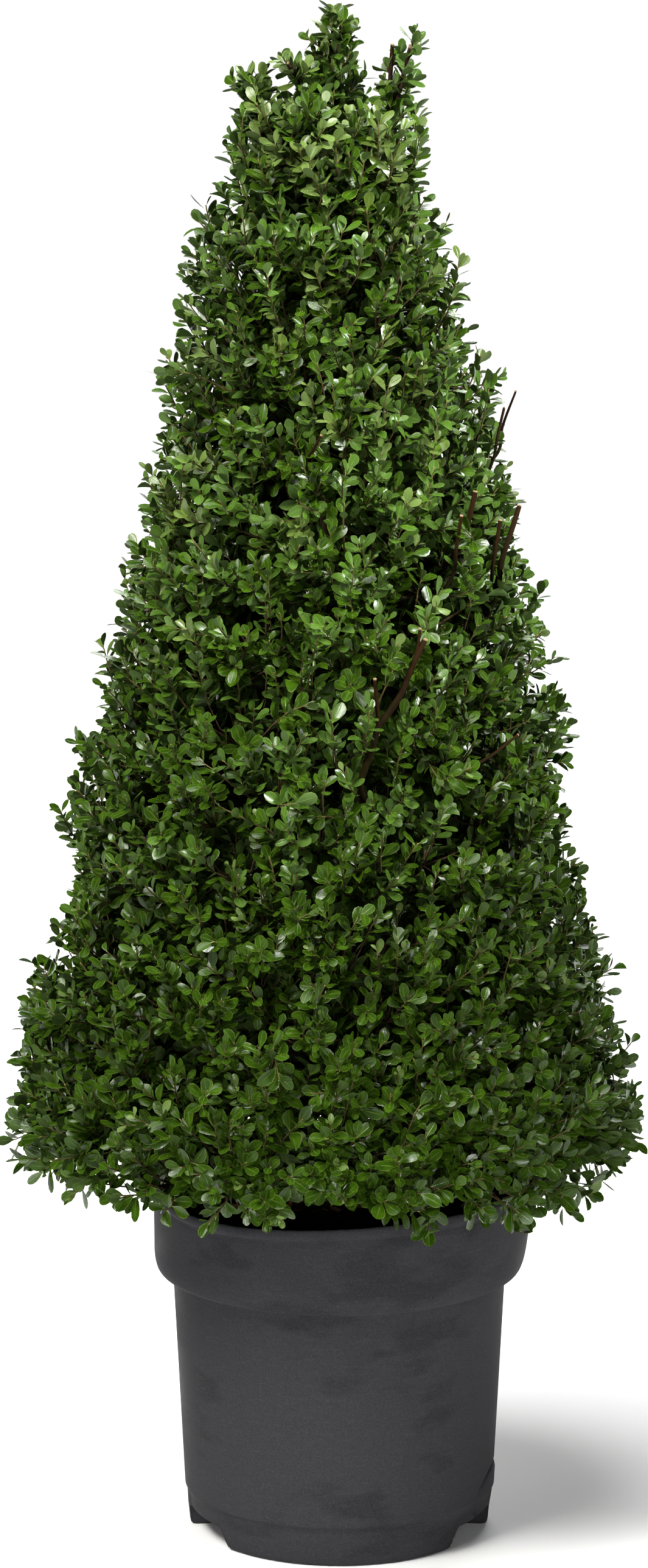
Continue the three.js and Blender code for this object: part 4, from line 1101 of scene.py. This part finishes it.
class SHRUB_OT_pot(bpy.types.Operator):
    """Build the charcoal nursery pot"""

    bl_idname = "shrub.pot"
    bl_label = "Pot"

    def execute(self, context):
        pot = context.scene.shrub_pot
        tones = pot.plastic, pot.plastic_dark, pot.plastic_scuff
        plastic = mottled_material("charcoal_plastic", *tones, scale=14, relief=0.0003, shine=0.02)
        add_piece("pot_shell", lathe(pot_shape(pot, POT_COLUMNS)), plastic, ["pot"])
        return {"FINISHED"}


class SHRUB_OT_compost(bpy.types.Operator):
    """Fill the pot with compost and bark chips"""

    bl_idname = "shrub.compost"
    bl_label = "Compost"

    def execute(self, context):
        pot = context.scene.shrub_pot
        tones = pot.compost, (0.008, 0.006, 0.005), pot.chip
        earth = mottled_material("moist_compost", *tones, scale=60, relief=0.001, shine=0.5)
        chips = wood_material("bark_chip", pot.chip, pot.compost, scale=220, relief=0.0004)
        add_piece("compost_bed", compost_shape(pot), earth, ["soil"])
        add_piece("bark_chips", chip_shapes(pot, CHIPS), chips, ["soil"])
        return {"FINISHED"}


class SHRUB_OT_limbs(bpy.types.Operator):
    """Build trunk, boughs and leaders with bark relief"""

    bl_idname = "shrub.limbs"
    bl_label = "Trunk and boughs"

    def execute(self, context):
        scene = context.scene
        wood = scene.shrub_wood
        lines = limb_lines(scene.shrub_pot, wood, scene.shrub_crown)
        bark = wood_material("grey_brown_bark", wood.bark, wood.bark_dark, scale=160, relief=0.0012)
        trunk = bark_tube(*lines["trunk"], sides=28, relief=0.10, seed=21)
        add_piece("trunk_bark", trunk, bark, ["trunk"])
        boughs = [bark_tube(*lines[name], 16, 0.08, seed) for seed, name in enumerate(BOUGH_NODES, 30)]
        add_piece("bough_bark", join(boughs), bark, BOUGH_NODES)
        leaders = [bark_tube(*lines[name], 12, 0.06, seed) for seed, name in enumerate(LEADER_SHOOTS, 50)]
        stem_bark = wood_material(
            "leader_bark", wood.stem, wood.bark_dark, scale=260, relief=0.0006, end=wood.cut
        )
        add_piece("leader_bark", join(leaders), stem_bark, LEADER_NODES)
        return {"FINISHED"}


class SHRUB_OT_twigs(bpy.types.Operator):
    """Grow branches and twigs out from the limbs"""

    bl_idname = "shrub.twigs"
    bl_label = "Branches and twigs"

    def execute(self, context):
        scene = context.scene
        pot, wood, crown = scene.shrub_pot, scene.shrub_wood, scene.shrub_crown
        branches, shoots = grow(pot, wood, crown, scene.shrub_leaf)
        along = np.linspace(0, 1, BRANCH_POINTS)
        shares = np.broadcast_to(along, (crown.branches, BRANCH_POINTS))
        paths, _ = bezier(*branches, shares)
        radii = mix(wood.branch_radius, wood.twig_radius, shares)
        bark = wood_material("branch_bark", wood.twig, wood.bark_dark, scale=260, relief=0.0006)
        add_piece("branches", tubes(paths, radii, BRANCH_SIDES, along), bark, FOLIAGE_NODES)
        clear, hand = shoots["clear"], shoots["hand"][:, None]
        radii = mix(wood.twig_radius, wood.twig_radius * 0.6, TWIG_STEPS) * (0.85 + 0.4 * hand)
        ripe = TWIG_STEPS * np.where(shoots["clipped"][:, None] & (hand < 0.6), 1, 0.975)
        twigs = tubes(shoots["path"][clear], radii[clear], TWIG_SIDES, ripe[clear])
        ends = {"end": wood.cut, "soft": wood.twig_green}
        bark = wood_material("twig_bark", wood.twig, wood.old_stem, scale=500, relief=0.0003, **ends)
        add_piece("twigs", twigs, bark, FOLIAGE_NODES)
        return {"FINISHED"}


class SHRUB_OT_cut_stems(bpy.types.Operator):
    """Add the thick cut stems that stand in the clipped face"""

    bl_idname = "shrub.cut_stems"
    bl_label = "Cut stems"

    def execute(self, context):
        scene = context.scene
        wood, crown = scene.shrub_wood, scene.shrub_crown
        branches, _ = grow(scene.shrub_pot, wood, crown, scene.shrub_leaf)
        lines = cut_stem_lines(crown, branches[3])
        stems = [bark_tube(*line, 12, 0.17, seed) for seed, line in enumerate(lines, 90)]
        furrow, ends = (0.006, 0.004, 0.002), {"end": wood.cut, "soft": wood.stem}
        bark = wood_material("cut_stem_bark", wood.old_stem, furrow, scale=240, relief=0.0008, **ends)
        add_piece("cut_stems", join(stems), bark, FOLIAGE_NODES)
        return {"FINISHED"}


class SHRUB_OT_leaves(bpy.types.Operator):
    """Set the leaves on the shoots in sprays of one tone"""

    bl_idname = "shrub.leaves"
    bl_label = "Leaves"

    def execute(self, context):
        scene = context.scene
        pot, crown, leaf = scene.shrub_pot, scene.shrub_crown, scene.shrub_leaf
        _, shoots = grow(pot, scene.shrub_wood, crown, leaf)
        rng = np.random.default_rng(crown.seed + 40)
        *places, draw, levels = leaf_places(pot, crown, shoots, leaf, rng)
        for name, blush, low, high, shine in LEAF_KINDS:
            chosen = np.flatnonzero((draw >= low) & (draw < high))
            chosen = chosen[np.argsort(places[0][chosen, 2], kind="stable")]
            tones = getattr(leaf, name), getattr(leaf, blush)
            material = leaf_material(f"leaf_{name}", *tones, leaf.rib, shine)
            for number, part in enumerate(np.array_split(chosen, math.ceil(len(chosen) / MOST_LEAVES))):
                blades = [
                    leaf_blades(*(values[part[levels[part] == level]] for values in places), leaf, rng, level)
                    for level in range(len(BLADE_ROWS))
                ]
                add_piece(f"leaves_{name}_{number + 1}", join(blades), material, FOLIAGE_NODES)
        return {"FINISHED"}


class SHRUB_OT_stage(bpy.types.Operator):
    """Set the pale floor, the soft lights and the camera"""

    bl_idname = "shrub.stage"
    bl_label = "Stage"

    def execute(self, context):
        stage = context.scene.shrub_stage
        mesh = bpy.data.meshes.new("studio_floor")
        corners = [(x * FLOOR_REACH, y * FLOOR_REACH, 0) for x, y in ((-1, -1), (1, -1), (1, 1), (-1, 1))]
        mesh.from_pydata(corners, [], [(0, 1, 2, 3)])
        tones = stage.floor, stage.floor_shade, stage.floor
        mesh.materials.append(mottled_material("pale_floor", *tones, scale=1.5, relief=0.0001, shine=0.0))
        floor = bpy.data.objects.new("studio_floor", mesh)
        context.scene.collection.objects.link(floor)
        for name, row in LIGHTS.items():
            self.add_light(name, *row)
        world = bpy.data.worlds.new("white_studio")
        world.use_nodes = True
        world.node_tree.nodes["Background"].inputs["Color"].default_value = (*stage.sky, 1)
        world.node_tree.nodes["Background"].inputs["Strength"].default_value = STUDIO_LIGHT
        context.scene.world = world
        camera = bpy.data.cameras.new("camera")
        camera.lens = stage.lens
        camera.sensor_width = 36
        camera.clip_end = 200
        eye = bpy.data.objects.new("camera", camera)
        eye.location = (stage.camera_x, stage.camera_y, stage.camera_z)
        eye.rotation_euler = (math.pi / 2 - stage.camera_pitch, 0, 0)
        context.scene.collection.objects.link(eye)
        context.scene.camera = eye
        context.scene.view_settings.view_transform = "Standard"
        return {"FINISHED"}

    def add_light(self, name, kind, place, target, size, power, tint, spread):
        """A soft light at a place, turned to its target: a square one within an angle of spread, or an even
        one over the whole floor whose size is its angle."""
        light = bpy.data.lights.new(name, kind)
        light.energy = power
        light.color = tint
        if kind == "SUN":
            light.angle = size
        else:
            light.size = size
            light.spread = spread
        lamp = bpy.data.objects.new(name, light)
        lamp.location = place
        ahead = unit(np.array(target) - np.array(place))
        lamp.rotation_euler = (math.acos(-ahead[2]), 0, math.atan2(ahead[1], ahead[0]) - math.pi / 2)
        bpy.context.scene.collection.objects.link(lamp)


class SHRUB_PT_panel(bpy.types.Panel):
    """Lists the steps that build the shrub"""

    bl_idname = "SHRUB_PT_panel"
    bl_label = "Clipped cone shrub"
    bl_space_type = "VIEW_3D"
    bl_region_type = "UI"
    bl_category = "Shrub"

    def draw(self, context):
        for operator in OPERATORS:
            self.layout.operator(operator.bl_idname)


SETTINGS = {
    "shrub_pot": ShrubPotSettings,
    "shrub_crown": ShrubCrownSettings,
    "shrub_leaf": ShrubLeafSettings,
    "shrub_wood": ShrubWoodSettings,
    "shrub_stage": ShrubStageSettings,
}
OPERATORS = (
    SHRUB_OT_pot,
    SHRUB_OT_compost,
    SHRUB_OT_limbs,
    SHRUB_OT_twigs,
    SHRUB_OT_cut_stems,
    SHRUB_OT_leaves,
    SHRUB_OT_stage,
)


def register():
    for group in SETTINGS.values():
        for key, setting in group.__annotations__.items():
            setting.keywords["name"] = key.replace("_", " ").capitalize()
    for group in (*SETTINGS.values(), *OPERATORS, SHRUB_PT_panel):
        bpy.utils.register_class(group)
    for name, group in SETTINGS.items():
        setattr(bpy.types.Scene, name, PointerProperty(type=group))


def unregister():
    for name in SETTINGS:
        delattr(bpy.types.Scene, name)
    for group in (SHRUB_PT_panel, *OPERATORS[::-1], *SETTINGS.values()):
        bpy.utils.unregister_class(group)


def main():
    register()
    bpy.ops.shrub.pot()
    bpy.ops.shrub.compost()
    bpy.ops.shrub.limbs()
    bpy.ops.shrub.twigs()
    bpy.ops.shrub.cut_stems()
    bpy.ops.shrub.leaves()
    bpy.ops.shrub.stage()


if __name__ == "__main__":
    main()
